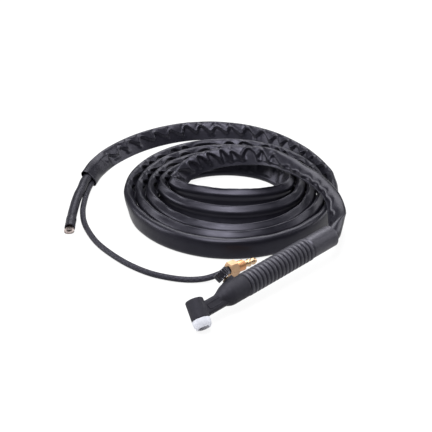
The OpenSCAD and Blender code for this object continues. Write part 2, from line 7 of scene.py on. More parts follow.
import logging
import math
from dataclasses import dataclass, field
from enum import Enum

import bmesh
import bpy
import numpy as np
from mathutils import Matrix, Vector


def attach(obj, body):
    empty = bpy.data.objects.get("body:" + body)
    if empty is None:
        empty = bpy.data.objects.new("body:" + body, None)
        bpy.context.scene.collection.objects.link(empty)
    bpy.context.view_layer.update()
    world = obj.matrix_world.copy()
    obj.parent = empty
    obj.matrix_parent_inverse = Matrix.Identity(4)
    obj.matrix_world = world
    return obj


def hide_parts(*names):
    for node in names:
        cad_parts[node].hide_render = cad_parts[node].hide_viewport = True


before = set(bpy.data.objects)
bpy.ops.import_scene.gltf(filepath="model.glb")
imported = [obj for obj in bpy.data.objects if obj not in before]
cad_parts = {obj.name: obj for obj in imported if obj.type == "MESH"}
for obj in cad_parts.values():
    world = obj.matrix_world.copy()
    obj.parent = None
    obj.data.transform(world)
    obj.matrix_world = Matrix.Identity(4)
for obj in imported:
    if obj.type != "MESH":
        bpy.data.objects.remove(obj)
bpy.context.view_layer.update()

LOG = logging.getLogger("torch_scene")
MM = 0.001
TAU = 2.0 * math.pi
WELD = 2e-6  # points of a CAD node nearer than this, in metres, are one
FLAT = math.radians(1.0)  # faces that meet at less than this are one flat
SHARP = math.radians(35.0)  # edges sharper than this are softened
COOL_TINT = (0.82, 0.80, 1.0, 1.0)  # tint of the sheen on the film and the jackets

Colour = tuple[float, float, float]
Piece = bpy.types.Object
Socket = bpy.types.NodeSocket


class Body(Enum):
    """The rigid bodies that pieces ride on."""

    TORCH = "torch"
    VALVE = "valve"
    SEAL = "valve_seal"
    NUT = "nut"


class Slot(Enum):
    """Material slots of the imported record."""

    RUBBER = "torch_rubber"
    COPPER_ALLOY = "copper_alloy"
    PTFE = "white_ptfe"
    BRASS = "brass"
    SEAL = "seal_rubber"
    KNOB = "knob_plastic"
    ZINC = "zinc_steel"
    CABLE = "cable_rubber"
    HOSE = "hose_rubber"
    HANDLE = "handle_plastic"
    SLEEVE = "sleeve_plastic"
    SHRINK = "shrink_plastic"
    TINNED = "tinned_copper"
    NUT = "nut_brass"
    FITTING = "copper_fitting"


# ---------------------------------------------------------------- small maths


def smooth(t: np.ndarray) -> np.ndarray:
    """Cubic step from 0 to 1."""
    t = np.clip(t, 0.0, 1.0)
    return t * t * (3.0 - 2.0 * t)


def soft_max(a: np.ndarray, b: np.ndarray, width: float) -> np.ndarray:
    """The larger of two profiles, rounded over where they meet.

    Formula: the mean of a and b plus half the root of their difference squared and width squared.

    Args:
        a: First profile.
        b: Second profile.
        width: Size of the rounding.

    Returns:
        The rounded maximum.
    """
    return 0.5 * (a + b + np.sqrt((a - b) ** 2 + width**2)) - 0.25 * width


def half_chord(radius: float, off: np.ndarray) -> np.ndarray:
    """Half chord of a circle at a distance from its middle, and 0 outside it."""
    return np.sqrt(np.maximum(0.0, radius**2 - off**2))


def angles(count: int) -> np.ndarray:
    """Even angles once round, with the last one short of the first."""
    return np.arange(count) / count * TAU


def rotation(degrees: float, axis: str) -> Matrix:
    """Turn about one axis."""
    return Matrix.Rotation(math.radians(degrees), 4, axis)


def unit_rows(v: np.ndarray) -> np.ndarray:
    """Each row divided by its length."""
    return v / np.maximum(np.linalg.norm(v, axis=-1, keepdims=True), 1e-12)


def spline(points: np.ndarray, per_span: int) -> np.ndarray:
    """Smooth curve through all points.

    Formula: a Catmull-Rom cubic on every span, whose end slopes are half the chord between the
    neighbouring points; the two outer spans mirror their end point.

    Args:
        points: Points to pass through, one per row; further columns are carried along.
        per_span: Samples on each span.

    Returns:
        The samples, one per row, ending on the last point.
    """
    p = np.vstack([2 * points[0] - points[1], points, 2 * points[-1] - points[-2]])
    t = (np.arange(per_span) / per_span)[None, :, None]
    a, b, c, d = (q[:, None, :] for q in (p[:-3], p[1:-2], p[2:-1], p[3:]))
    body = 0.5 * (
        2 * b
        + (c - a) * t
        + (2 * a - 5 * b + 4 * c - d) * t**2
        + (3 * b - a - 3 * c + d) * t**3
    )
    return np.vstack([body.reshape(-1, points.shape[1]), points[-1:]])


def even_steps(curve: np.ndarray, step: float) -> tuple[np.ndarray, np.ndarray]:
    """Resamples a curve at even distances.

    Args:
        curve: Points, one per row; the first three columns are the place.
        step: Wanted distance between samples.

    Returns:
        The samples, and the distance of each from the start.
    """
    run = np.concatenate([[0.0], np.cumsum(np.linalg.norm(np.diff(curve[:, :3], axis=0), axis=1))])
    count = max(int(round(run[-1] / step)), 4)
    at = np.linspace(0.0, run[-1], count + 1)
    return np.stack([np.interp(at, run, column) for column in curve.T], axis=1), at


def path_frames(path: np.ndarray) -> tuple[np.ndarray, np.ndarray]:
    """Level side and upward vectors along a path that never runs straight up."""
    along = unit_rows(np.gradient(path, axis=0))
    side = unit_rows(np.cross(along, [0.0, 0.0, 1.0]))
    return side, np.cross(side, along)


# ---------------------------------------------------------------- places


@dataclass(frozen=True)
class Layout:
    """Where the torch and the coil lie, with the same named values as the solids."""

    head_reach: float = 79.0
    head_below: float = 10.8
    gasket_len: float = 11.0
    gasket_lip: float = 0.4
    gasket_end_r: float = 9.8
    head_lean: float = 16.0
    handle_len: float = 161.5
    valve_back: float = 12.9
    valve_lean: float = 12.0
    roll: float = -50.0
    tilt: float = 3.05
    torch_shift: float = 7.33
    torch_y: float = -3.295
    coil_back: float = 28.4
    coil_off: float = 188.4
    coil_turn: float = -43.9
    fitting_at: tuple[float, float, float] = (16.5, -164.0, 9.5)
    fitting_turn: float = 36.0
    lug_at: tuple[float, float, float] = (-200.4, -16.0, 6.3)
    lug_turn: float = -90.0

    @property
    def torch_x(self) -> float:
        """Distance of the handle front from the frame's origin."""
        return (self.head_reach - self.handle_len) / 2 + self.torch_shift

    @property
    def torch_z(self) -> float:
        """Height of the handle axis at the handle front, with the gasket rim on the floor."""
        lean, roll, tilt = (math.radians(a) for a in (self.head_lean, self.roll, self.tilt))
        down = -math.cos(lean) * math.cos(roll) * math.cos(tilt) - math.sin(lean) * math.sin(tilt)
        reach = self.head_below + self.gasket_len - self.gasket_lip
        drop = -reach * down + self.gasket_end_r * math.sqrt(1 - down * down)
        return drop + self.head_reach * math.sin(tilt)

    @property
    def coil_origin(self) -> tuple[float, float]:
        """Origin of the coil frame on the floor."""
        x = self.torch_x + self.handle_len * math.cos(math.radians(self.tilt)) - self.coil_back
        return x, self.torch_y + self.coil_off

    def torch(self) -> Matrix:
        """Frame of the torch: x runs back along the handle, z away from the open head."""
        place = Matrix.Translation((self.torch_x, self.torch_y, self.torch_z))
        return place @ rotation(-self.tilt, "Y") @ rotation(self.roll, "X")

    def handle(self, up: float = 0.0) -> Matrix:
        """Frame whose z axis runs back along the handle, or beside its axis."""
        return self.torch() @ Matrix.Translation((0, 0, up)) @ rotation(90, "Y")

    def head(self) -> Matrix:
        """Frame whose z axis runs out of the open head."""
        tip = self.torch() @ Matrix.Translation((-self.head_reach, 0, 0))
        return tip @ rotation(180 + self.head_lean, "Y")

    def valve(self) -> Matrix:
        """Frame whose z axis runs out through the valve knob."""
        seat = self.torch() @ Matrix.Translation((-self.valve_back, 0, 0))
        return seat @ rotation(-self.valve_lean, "Y")

    def coil(self) -> Matrix:
        """Frame of the coil on the floor: x across it, y to its far side."""
        return Matrix.Translation((*self.coil_origin, 0)) @ rotation(self.coil_turn, "Z")

    def on_coil(self, at: tuple[float, float, float], turn: float) -> Matrix:
        """Frame at a point of the coil frame whose z axis lies level along a bearing."""
        return self.coil() @ Matrix.Translation(at) @ rotation(turn, "Z") @ rotation(90, "Y")

    def fitting(self) -> Matrix:
        """Frame whose z axis runs along the gas fitting."""
        return self.on_coil(self.fitting_at, self.fitting_turn)

    def lug(self) -> Matrix:
        """Frame whose z axis runs along the cable lug."""
        return self.on_coil(self.lug_at, self.lug_turn)

    def handle_point(self, x: float) -> np.ndarray:
        """Point of the handle axis, x behind its front, in the coil frame."""
        p = self.coil().inverted() @ self.torch() @ Vector((x, 0, 0))
        return np.array(p)


def carried(points: np.ndarray, place: Matrix) -> np.ndarray:
    """Points in millimetres of a place's frame, carried to the row frame in metres."""
    m = np.array(place)
    return (points @ m[:3, :3].T + m[:3, 3]) * MM


# ---------------------------------------------------------------- surfaces


def linked(name: str, data: bpy.types.ID) -> Piece:
    """New object with some data, linked to the scene."""
    made = bpy.data.objects.new(name, data)
    bpy.context.scene.collection.objects.link(made)
    return made


@dataclass
class Surface:
    """Quads on a grid of points whose last column joins the first, with their own UV map.

    Attributes:
        grid: Points of shape (rows, columns, 3), in millimetres of the place's frame.
        place: Frame that the points are in.
        wrap_rows: The last row joins the first.
        caps: Close both ends of a tube with a fan.
        row_run: Distance of each row from the start, used as the map's u in metres.
    """

    grid: np.ndarray
    place: Matrix
    wrap_rows: bool = False
    caps: bool = False
    row_run: np.ndarray | None = None

    def rested(self) -> "Surface":
        """The same surface, flattened where it would reach below the floor.

        Returns:
            This surface.
        """
        m = np.array(self.place)
        low = self.grid @ m[2, :3] + m[2, 3]
        self.grid = self.grid - np.minimum(low, 0.0)[..., None] * m[2, :3]
        return self

    def _quads(self) -> tuple[np.ndarray, np.ndarray]:
        """Corner numbers of every quad, and the unwrapped row and column of every corner."""
        rows, columns = self.grid.shape[:2]
        bands = rows if self.wrap_rows else rows - 1
        i, j = (n.ravel() for n in np.meshgrid(np.arange(bands), np.arange(columns), indexing="ij"))
        corner_i = np.stack([i, i + 1, i + 1, i], axis=1)
        corner_j = np.stack([j, j, j + 1, j + 1], axis=1)
        quads = (corner_i % rows) * columns + corner_j % columns
        return quads, np.stack([corner_i, corner_j], axis=-1)

    def _fans(self) -> tuple[np.ndarray, np.ndarray]:
        """Centre points of both ends, and the triangles that close them."""
        rows, columns = self.grid.shape[:2]
        j = np.arange(columns)
        k = (j + 1) % columns
        first = np.stack([np.full(columns, rows * columns), k, j], axis=1)
        base = (rows - 1) * columns
        last = np.stack([np.full(columns, rows * columns + 1), base + j, base + k], axis=1)
        centres = np.stack([self.grid[0].mean(axis=0), self.grid[-1].mean(axis=0)])
        return centres, np.vstack([first, last])

    def build(self, name: str) -> Piece:
        """Makes the mesh object, with its faces outwards.

        The signed volume is the sum over triangles of a dot (b cross c) over six; where it is
        negative every face is turned round.

        Args:
            name: Name of the piece.

        Returns:
            The linked object, at the origin.
        """
        points = self.grid.reshape(-1, 3)
        quads, where = self._quads()
        fans = np.zeros((0, 3), int)
        if self.caps:
            centres, fans = self._fans()
            points = np.vstack([points, centres])
        points = carried(points, self.place)
        tris = np.vstack([quads[:, [0, 1, 2]], quads[:, [0, 2, 3]], fans])
        a, b, c = (points[tris[:, n]] - points.mean(axis=0) for n in range(3))
        if np.einsum("ij,ij->i", a, np.cross(b, c)).sum() < 0:
            quads, where, fans = quads[:, ::-1], where[:, ::-1], fans[:, ::-1]
        rows, columns = self.grid.shape[:2]
        run = self.row_run if self.row_run is not None else np.arange(rows, dtype=float)
        run = np.append(run, run[-1] + (run[-1] - run[-2])) * MM
        uv = np.stack([run[where[..., 0]], where[..., 1] / columns], axis=-1).reshape(-1, 2)
        fan_uv = np.tile([0.0, 0.5], (fans.size, 1))
        mesh = bpy.data.meshes.new(name)
        mesh.vertices.add(len(points))
        mesh.vertices.foreach_set("co", points.ravel())
        loops = np.concatenate([quads.ravel(), fans.ravel()])
        sizes = np.concatenate([np.full(len(quads), 4), np.full(len(fans), 3)])
        mesh.loops.add(len(loops))
        mesh.loops.foreach_set("vertex_index", loops)
        mesh.polygons.add(len(sizes))
        mesh.polygons.foreach_set("loop_start", np.concatenate([[0], np.cumsum(sizes)[:-1]]))
        mesh.uv_layers.new(name="Surface")
        mesh.update(calc_edges=True)
        mesh.uv_layers[0].data.foreach_set("uv", np.vstack([uv, fan_uv]).ravel())
        mesh.polygons.foreach_set("use_smooth", np.ones(len(sizes), bool))
        mesh.validate()
        return linked(name, mesh)


def rounded(profile: list[tuple[float, float, float]], steps: int = 5) -> np.ndarray:
    """Closed outline with its corners rounded.

    Formula: each corner is replaced by a quadratic Bezier curve whose control point is the corner
    and whose ends lie the corner's radius away along both sides.

    Args:
        profile: Corners as (r, z, radius), in order round the outline.
        steps: Points on each rounded corner.

    Returns:
        Points (r, z) of the closed outline.
    """
    corners = np.array(profile, float)
    p, size = corners[:, :2], corners[:, 2]
    out = []
    t = np.linspace(0.0, 1.0, steps)[:, None]
    for k in range(len(p)):
        before, here, after = p[k - 1], p[k], p[(k + 1) % len(p)]
        if size[k] <= 0:
            out.append(here[None])
            continue
        a = here + (before - here) / np.linalg.norm(before - here) * size[k]
        b = here + (after - here) / np.linalg.norm(after - here) * size[k]
        out.append((1 - t) ** 2 * a + 2 * t * (1 - t) * here + t**2 * b)
    return np.vstack(out)


def revolved(radius: np.ndarray, z: np.ndarray, angle: np.ndarray) -> np.ndarray:
    """Grid of points at radii, heights and angles about the z axis."""
    return np.stack([radius * np.cos(angle), radius * np.sin(angle), z + 0 * angle], axis=-1)


def turned(profile: np.ndarray, sides: int, place: Matrix) -> Surface:
    """Solid of revolution about the place's z axis from a closed outline of (r, z) points."""
    grid = revolved(profile[:, :1], profile[:, 1:], angles(sides))
    return Surface(grid, place, wrap_rows=True)


def swept(path: np.ndarray, run: np.ndarray, radius: float, sides: int, place: Matrix) -> Surface:
    """Round tube along a path, whose rows lie at distances run from its start."""
    side, up = path_frames(path)
    angle = angles(sides)[:, None]
    ring = side[:, None] * np.sin(angle) + up[:, None] * np.cos(angle)
    return Surface(path[:, None] + ring * radius, place, caps=True, row_run=run)


def own_copy(node: str, name: str, bevel: float = 0.0) -> Piece:
    """Copy of a CAD node with its loose triangles joined, flats cleaned and edges softened.

    Args:
        node: The CAD node.
        name: Name of the new piece.
        bevel: Width of the softened edges in millimetres, 0 for none.

    Returns:
        The linked object.
    """
    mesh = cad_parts[node].data.copy()
    mesh.name = name
    mesh.materials.clear()
    work = bmesh.new()
    work.from_mesh(mesh)
    bmesh.ops.remove_doubles(work, verts=work.verts, dist=WELD)
    bmesh.ops.dissolve_limit(work, angle_limit=FLAT, verts=work.verts, edges=work.edges)
    work.to_mesh(mesh)
    work.free()
    mesh.polygons.foreach_set("use_smooth", np.ones(len(mesh.polygons), bool))
    mesh.set_sharp_from_angle(angle=SHARP)
    piece = linked(name, mesh)
    if bevel:
        soft = piece.modifiers.new("edges", "BEVEL")
        soft.width = bevel * MM
        soft.segments = 3
        soft.limit_method = "ANGLE"
        soft.angle_limit = SHARP
        soft.harden_normals = True
    return piece


# ---------------------------------------------------------------- finishes


class Graph:
    """Short-hand for one material's node tree round a Principled shader."""

    def __init__(self, name: str) -> None:
        """Starts an empty tree with its shader and output."""
        self.material = bpy.data.materials.new(name)
        self.material.use_nodes = True
        self.tree = self.material.node_tree
        self.tree.nodes.clear()
        self.output = self.node("ShaderNodeOutputMaterial")
        self.shader = self.node("ShaderNodeBsdfPrincipled")
        self.link(self.shader.outputs["BSDF"], self.output.inputs["Surface"])

    def node(self, kind: str, inputs: dict | None = None, **settings: object) -> bpy.types.Node:
        """Adds a node, with its settings and the values of its unlinked inputs."""
        made = self.tree.nodes.new(kind)
        for key, value in settings.items():
            setattr(made, key, value)
        for key, value in (inputs or {}).items():
            made.inputs[key].default_value = value
        return made

    def link(self, source: Socket, target: Socket) -> None:
        """Joins an output to an input."""
        self.tree.links.new(source, target)

    def coordinates(self, scale: tuple[float, float, float], mapped: bool = False) -> Socket:
        """Object coordinates, or the piece's own map, stretched by a scale."""
        source = self.node("ShaderNodeTexCoord").outputs["UV" if mapped else "Object"]
        mapping = self.node("ShaderNodeMapping", {"Scale": scale})
        self.link(source, mapping.inputs["Vector"])
        return mapping.outputs["Vector"]

    def maths(self, operation: str, first: Socket, second: Socket | float = 0.0) -> Socket:
        """Result of a sum on one socket and another socket or a number."""
        made = self.node("ShaderNodeMath", operation=operation)
        self.link(first, made.inputs[0])
        if isinstance(second, float):
            made.inputs[1].default_value = second
        else:
            self.link(second, made.inputs[1])
        return made.outputs[0]

    def noise(self, vector: Socket, scale: float, detail: float, rough: float = 0.55) -> Socket:
        """Fractal noise between 0 and 1."""
        values = {"Scale": scale, "Detail": detail, "Roughness": rough}
        made = self.node("ShaderNodeTexNoise", values)
        self.link(vector, made.inputs["Vector"])
        return made.outputs["Fac"]

    def ranged(self, value: Socket, low: float, high: float) -> Socket:
        """Noise near its middle spread over low to high."""
        values = {"From Min": 0.3, "From Max": 0.7, "To Min": low, "To Max": high}
        made = self.node("ShaderNodeMapRange", values)
        self.link(value, made.inputs["Value"])
        return made.outputs["Result"]

    def blend_colours(self, share: Socket, first: Colour, second: Colour) -> Socket:
        """Colour that goes from first to second with share."""
        made = self.node("ShaderNodeMix", data_type="RGBA")
        made.inputs[6].default_value = (*first, 1.0)
        made.inputs[7].default_value = (*second, 1.0)
        self.link(share, made.inputs[0])
        return made.outputs[2]

    def bump(self, height: Socket, depth: float, strength: float) -> None:
        """Adds a bump of a depth in metres under any bump that is already there."""
        made = self.node("ShaderNodeBump", {"Strength": strength, "Distance": depth})
        self.link(height, made.inputs["Height"])
        normal = self.shader.inputs["Normal"]
        if normal.links:
            self.link(normal.links[0].from_socket, made.inputs["Normal"])
        self.link(made.outputs["Normal"], normal)

    def set_shader(self, **values: object) -> None:
        """Sets uniform sockets of the shader, with underscores for the spaces in their names."""
        for key, value in values.items():
            self.shader.inputs[key.replace("_", " ")].default_value = value


@dataclass(frozen=True)
class Finish:
    """What all finishes share: two colours in soft patches, and a gloss that varies.

    Attributes:
        name: Name of the material.
        first: Colour of one half of the patches.
        second: Colour of the other half.
        gloss: Least and greatest roughness.
    """

    name: str
    first: Colour
    second: Colour
    gloss: tuple[float, float]

    def start(self, patches: tuple, sheen: tuple) -> tuple[Graph, Socket]:
        """Starts the material with its colour and its roughness.

        Args:
            patches: Scale, detail and, where it isn't the usual, roughness of the colour's noise.
            sheen: Scale and detail of the gloss's noise.

        Returns:
            The node tree, and the object's coordinates in it.
        """
        g = Graph(self.name)
        place = g.coordinates((1, 1, 1))
        share = g.ranged(g.noise(place, *patches), 0.0, 1.0)
        g.link(g.blend_colours(share, self.first, self.second), g.shader.inputs["Base Color"])
        g.link(g.ranged(g.noise(place, *sheen), *self.gloss), g.shader.inputs["Roughness"])
        return g, place


@dataclass(frozen=True)
class Moulded(Finish):
    """Moulded rubber or plastic: fine grain, patchy gloss, faint dust in its colour."""

    grain: float = 2600.0
    grain_depth: float = 0.00004
    specular: float = 0.3
    tint: tuple[float, float, float, float] = (0.86, 0.84, 1.0, 1.0)

    def make(self) -> bpy.types.Material:
        """Builds the material."""
        g, place = self.start((45.0, 5.0), (210.0, 3.0))
        g.bump(g.noise(place, self.grain, 2.0), self.grain_depth, 0.6)
        g.bump(g.noise(place, 130.0, 2.0), 0.00006, 0.35)
        g.set_shader(Specular_IOR_Level=self.specular, Specular_Tint=self.tint)
        return g.material


@dataclass(frozen=True)
class Film(Finish):
    """Soft thin plastic of the cable sleeve, with long faint creases along the surface map."""

    crease_depth: float = 0.0002
    specular: float = 0.225

    def make(self) -> bpy.types.Material:
        """Builds the material."""
        g, place = self.start((28.0, 4.0), (75.0, 4.0))
        along = g.coordinates((95.0, 9.0, 1.0), mapped=True)
        across = g.coordinates((7.0, 46.0, 1.0), mapped=True)
        g.bump(g.noise(place, 1500.0, 2.0), 0.00003, 0.5)
        g.bump(g.noise(across, 1.0, 3.0), 0.00010, 0.40)
        g.bump(g.noise(along, 1.0, 3.0, 0.6), self.crease_depth, 0.30)
        g.set_shader(Specular_IOR_Level=self.specular, Specular_Tint=COOL_TINT)
        return g.material


@dataclass(frozen=True)
class Jacket(Finish):
    """Cable or hose jacket; ridges of the braid run along the map and cross at a slant.

    Attributes:
        braid_depth: Height of the ridges in metres.
        ridges: Ridges round the jacket.
        climb: Radians that the ridges go through on a metre of the jacket.
        specular: Strength of the sheen.
    """

    braid_depth: float
    ridges: float = 24.0
    climb: float = 420.0
    specular: float = 0.225

    def make(self) -> bpy.types.Material:
        """Builds the material."""
        g, _ = self.start((60.0, 4.0), (240.0, 3.0))
        for turn in (1.0, -1.0):
            g.bump(self._ridges(g, turn), self.braid_depth, 0.5)
        g.bump(g.noise(g.coordinates((40.0, 30.0, 1.0), mapped=True), 1.0, 3.0), 0.0002, 0.3)
        g.set_shader(Specular_IOR_Level=self.specular, Specular_Tint=COOL_TINT)
        return g.material

    def _ridges(self, g: Graph, turn: float) -> Socket:
        """Ridges on the surface map that climb round the jacket one way or the other.

        Formula: the sine of ridges times the way round plus turn times climb times the way along.
        """
        split = g.node("ShaderNodeSeparateXYZ")
        g.link(g.coordinates((1, 1, 1), mapped=True), split.inputs["Vector"])
        around = g.maths("MULTIPLY", split.outputs["Y"], self.ridges * TAU)
        along = g.maths("MULTIPLY", split.outputs["X"], self.climb * turn)
        return g.maths("SINE", g.maths("ADD", around, along))


@dataclass(frozen=True)
class Metal(Finish):
    """Machined metal: dulled patches, fine turning marks and a little pitting."""

    marks: float = 900.0

    def make(self) -> bpy.types.Material:
        """Builds the material."""
        g, place = self.start((110.0, 6.0, 0.65), (420.0, 4.0))
        g.bump(g.noise(place, self.marks, 3.0), 0.00004, 0.4)
        g.set_shader(Metallic=1.0)
        return g.material


class Finishes:
    """Every finish of the object, made once."""

    def __init__(self) -> None:
        """Builds the materials."""
        plastic = (0.0058, 0.0057, 0.0080), (0.0100, 0.0098, 0.0134)
        rubber = (0.0043, 0.0042, 0.0060), (0.0078, 0.0076, 0.0103)
        film = (0.0032, 0.0031, 0.0049), (0.0058, 0.0056, 0.0082)
        white = (0.31, 0.315, 0.35), (0.36, 0.365, 0.40)
        brass = (0.56, 0.40, 0.26), (0.38, 0.26, 0.14)
        copper = (0.80, 0.50, 0.32), (0.55, 0.30, 0.18)
        zinc = (0.78, 0.79, 0.82), (0.58, 0.59, 0.62)
        tinned = (0.34, 0.30, 0.285), (0.22, 0.18, 0.17)
        nut = (0.52, 0.35, 0.22), (0.40, 0.26, 0.16)
        fitting = (0.56, 0.30, 0.155), (0.42, 0.20, 0.10)
        # painted shade: brass darkened to stand for the shade under the valve knob, used on the
        # gland
        gland_shade = (0.20, 0.14, 0.09), (0.09, 0.07, 0.05)
        untinted = (1.0, 1.0, 1.0, 1.0)
        ptfe = Moulded("white_ptfe", *white, (0.38, 0.50), grain_depth=0.00001, tint=untinted)
        finishes: dict[Slot, Finish] = {
            Slot.RUBBER: Moulded("torch_rubber", *rubber, (0.62, 0.76), specular=0.27),
            Slot.HANDLE: Moulded("grip_plastic", *plastic, (0.43, 0.55), specular=0.54),
            Slot.KNOB: Moulded("knob_plastic", *rubber, (0.28, 0.40), specular=0.45),
            Slot.SEAL: Moulded("seal_rubber", *rubber, (0.45, 0.60)),
            Slot.SHRINK: Moulded("shrink_tube", *rubber, (0.38, 0.52)),
            Slot.PTFE: ptfe,
            Slot.SLEEVE: Film("sleeve_film", *film, (0.31, 0.41)),
            Slot.CABLE: Jacket("cable_jacket", *rubber, (0.40, 0.55), 0.00001),
            Slot.HOSE: Jacket("hose_jacket", *plastic, (0.42, 0.58), 0.00012),
            Slot.BRASS: Metal("turned_brass", *brass, (0.28, 0.44)),
            Slot.COPPER_ALLOY: Metal("copper_alloy", *copper, (0.22, 0.42)),
            Slot.ZINC: Metal("zinc_plate", *zinc, (0.22, 0.38)),
            Slot.TINNED: Metal("tinned_copper", *tinned, (0.40, 0.56)),
            Slot.NUT: Metal("nut_brass", *nut, (0.54, 0.68)),
            Slot.FITTING: Metal("copper_fitting", *fitting, (0.36, 0.50)),
        }
        self.by_slot = {slot: finish.make() for slot, finish in finishes.items()}
        # brass darkened with painted shade, for the gland that sits under the knob
        self.shaded_gland_brass = Metal("brass_painted_shade", *gland_shade, (0.40, 0.55)).make()

    def dress(self, piece: Piece, slot: Slot) -> None:
        """Gives a piece its finish in place of any it has."""
        piece.data.materials.clear()
        piece.data.materials.append(self.by_slot[slot])

    def dress_node(self, node: str, material: bpy.types.Material) -> None:
        """Gives a CAD node its finish through its object's material slots."""
        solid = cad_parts[node]
        if not solid.material_slots:
            solid.data.materials.append(material)
        for held in solid.material_slots:
            held.link = "OBJECT"
            held.material = material


@dataclass
class Workshop:
    """What every sub-assembly needs to place and finish its pieces."""

    layout: Layout
    finishes: Finishes

    def settle(self, piece: Piece, slot: Slot, body: Body, *nodes: str) -> Piece:
        """Finishes a piece, lets it ride on its body and stand for CAD nodes.

        Args:
            piece: The new piece, in place.
            slot: Material slot that it takes its finish from.
            body: Body that it rides on.
            nodes: CAD nodes that it replaces.

        Returns:
            The same piece.
        """
        self.finishes.dress(piece, slot)
        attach(piece, body.value)
        if nodes:
            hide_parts(*nodes)
        LOG.info("%s: %d faces", piece.name, len(piece.data.polygons))
        return piece

    def softened(
        self, node: str, name: str, bevel: float, slot: Slot, body: Body = Body.TORCH
    ) -> Piece:
        """Copy of a CAD node with softened edges, finished and in the node's stead."""
        return self.settle(own_copy(node, name, bevel), slot, body, node)


# ---------------------------------------------------------------- camera and room


@dataclass(frozen=True)
class Studio:
    """Camera, floor and lamps; lengths are in metres, sensor and lamp_aim in millimetres."""

    distance: float = 2.0
    elevation: float = 28.6
    focal_px: float = 1428.6
    image_px: int = 432
    sensor: float = 36.0
    clip_end: float = 20.0
    floor_half: float = 6.0
    floor_drop: float = 0.0002
    lamp_aim: float = 20.0
    world_light: float = 0.18

    @staticmethod
    def _aimed(
        name: str, data: bpy.types.ID, aim: Vector, bearing: float, rise: float, far: float
    ) -> Piece:
        """Object that looks at a point.

        Args:
            name: Name of the object.
            data: Its camera or lamp.
            aim: Point that it looks at, in metres.
            bearing: Where it stands round the point, in degrees from the row frame's minus y.
            rise: Its elevation in degrees.
            far: Its distance in metres.

        Returns:
            The object.
        """
        turn = math.radians(bearing)
        toward = Vector((math.sin(turn), -math.cos(turn), 0)) * math.cos(math.radians(rise))
        toward.z = math.sin(math.radians(rise))
        made = linked(name, data)
        made.location = aim + toward * far
        made.rotation_euler = (aim - made.location).to_track_quat("-Z", "Y").to_euler()
        return made

    def camera(self, layout: Layout) -> None:
        """Places the camera in line with the coil frame's y axis, aimed at its origin."""
        data = bpy.data.cameras.new("camera")
        data.sensor_width = self.sensor
        data.lens = self.sensor * self.focal_px / self.image_px
        data.clip_end = self.clip_end
        aim = Vector((*layout.coil_origin, 0)) * MM
        bpy.context.scene.camera = self._aimed(
            "camera", data, aim, layout.coil_turn, self.elevation, self.distance
        )

    def floor(self) -> None:
        """Pale floor that the camera sees near white, with the object's shadow on it."""
        data = bpy.data.meshes.new("floor")
        half = self.floor_half
        corners = [(-half, -half, 0), (half, -half, 0), (half, half, 0), (-half, half, 0)]
        data.from_pydata(corners, [], [(0, 1, 2, 3)])
        floor = linked("floor", data)
        floor.location.z = -self.floor_drop
        g = Graph("floor")
        g.set_shader(Base_Color=(0.86, 0.86, 0.87, 1.0), Roughness=0.9, Specular_IOR_Level=0.1)
        self._show_white(g, 0.9)
        data.materials.append(g.material)

    @staticmethod
    def _show_white(g: Graph, share: float) -> None:
        """Mixes plain white light in for what the camera and reflections see."""
        rays = g.node("ShaderNodeLightPath")
        seen = rays.outputs["Is Camera Ray"]
        for kind in ("Is Glossy Ray", "Is Transmission Ray"):
            seen = g.maths("MAXIMUM", seen, rays.outputs[kind])
        white = g.node("ShaderNodeEmission", {"Color": (1, 1, 1, 1), "Strength": 1.0})
        mix = g.node("ShaderNodeMixShader")
        g.link(g.maths("MULTIPLY", seen, share), mix.inputs[0])
        g.link(g.shader.outputs["BSDF"], mix.inputs[1])
        g.link(white.outputs["Emission"], mix.inputs[2])
        g.link(mix.outputs["Shader"], g.output.inputs["Surface"])

    def world(self) -> None:
        """Dim white light from all round."""
        world = bpy.data.worlds.new("room")
        bpy.context.scene.world = world
        world.use_nodes = True
        tree = world.node_tree
        tree.nodes.clear()
        out = tree.nodes.new("ShaderNodeOutputWorld")
        glow = tree.nodes.new("ShaderNodeBackground")
        glow.inputs["Color"].default_value = (0.97, 0.98, 1.0, 1.0)
        glow.inputs["Strength"].default_value = self.world_light
        tree.links.new(glow.outputs[0], out.inputs["Surface"])

    def lamps(self, layout: Layout) -> None:
        """Soft boxes round the object, aimed at the coil.

        Each row is a name, its bearing from the camera, its elevation, distance, size and power.
        """
        aim = Vector((*layout.coil_origin, self.lamp_aim)) * MM
        for name, bearing, rise, far, size, power in (
            ("left", -95.0, 26.0, 1.6, 0.9, 24.5),
            ("right", 110.0, 22.0, 1.7, 1.1, 19.0),
            ("above", -15.0, 66.0, 1.5, 0.8, 28.0),
            ("top", -60.0, 84.0, 1.5, 0.7, 21.0),
            ("back", 175.0, 50.0, 1.7, 1.0, 23.0),
        ):
            data = bpy.data.lights.new(name, "AREA")
            data.shape = "SQUARE"
            data.size = size
            data.energy = power
            self._aimed(name, data, aim, layout.coil_turn + bearing, rise, far)

    def build(self, layout: Layout) -> None:
        """Builds the whole room."""
        self.camera(layout)
        self.floor()
        self.world()
        self.lamps(layout)
        bpy.context.scene.view_settings.view_transform = "Standard"


# ---------------------------------------------------------------- cable sleeve


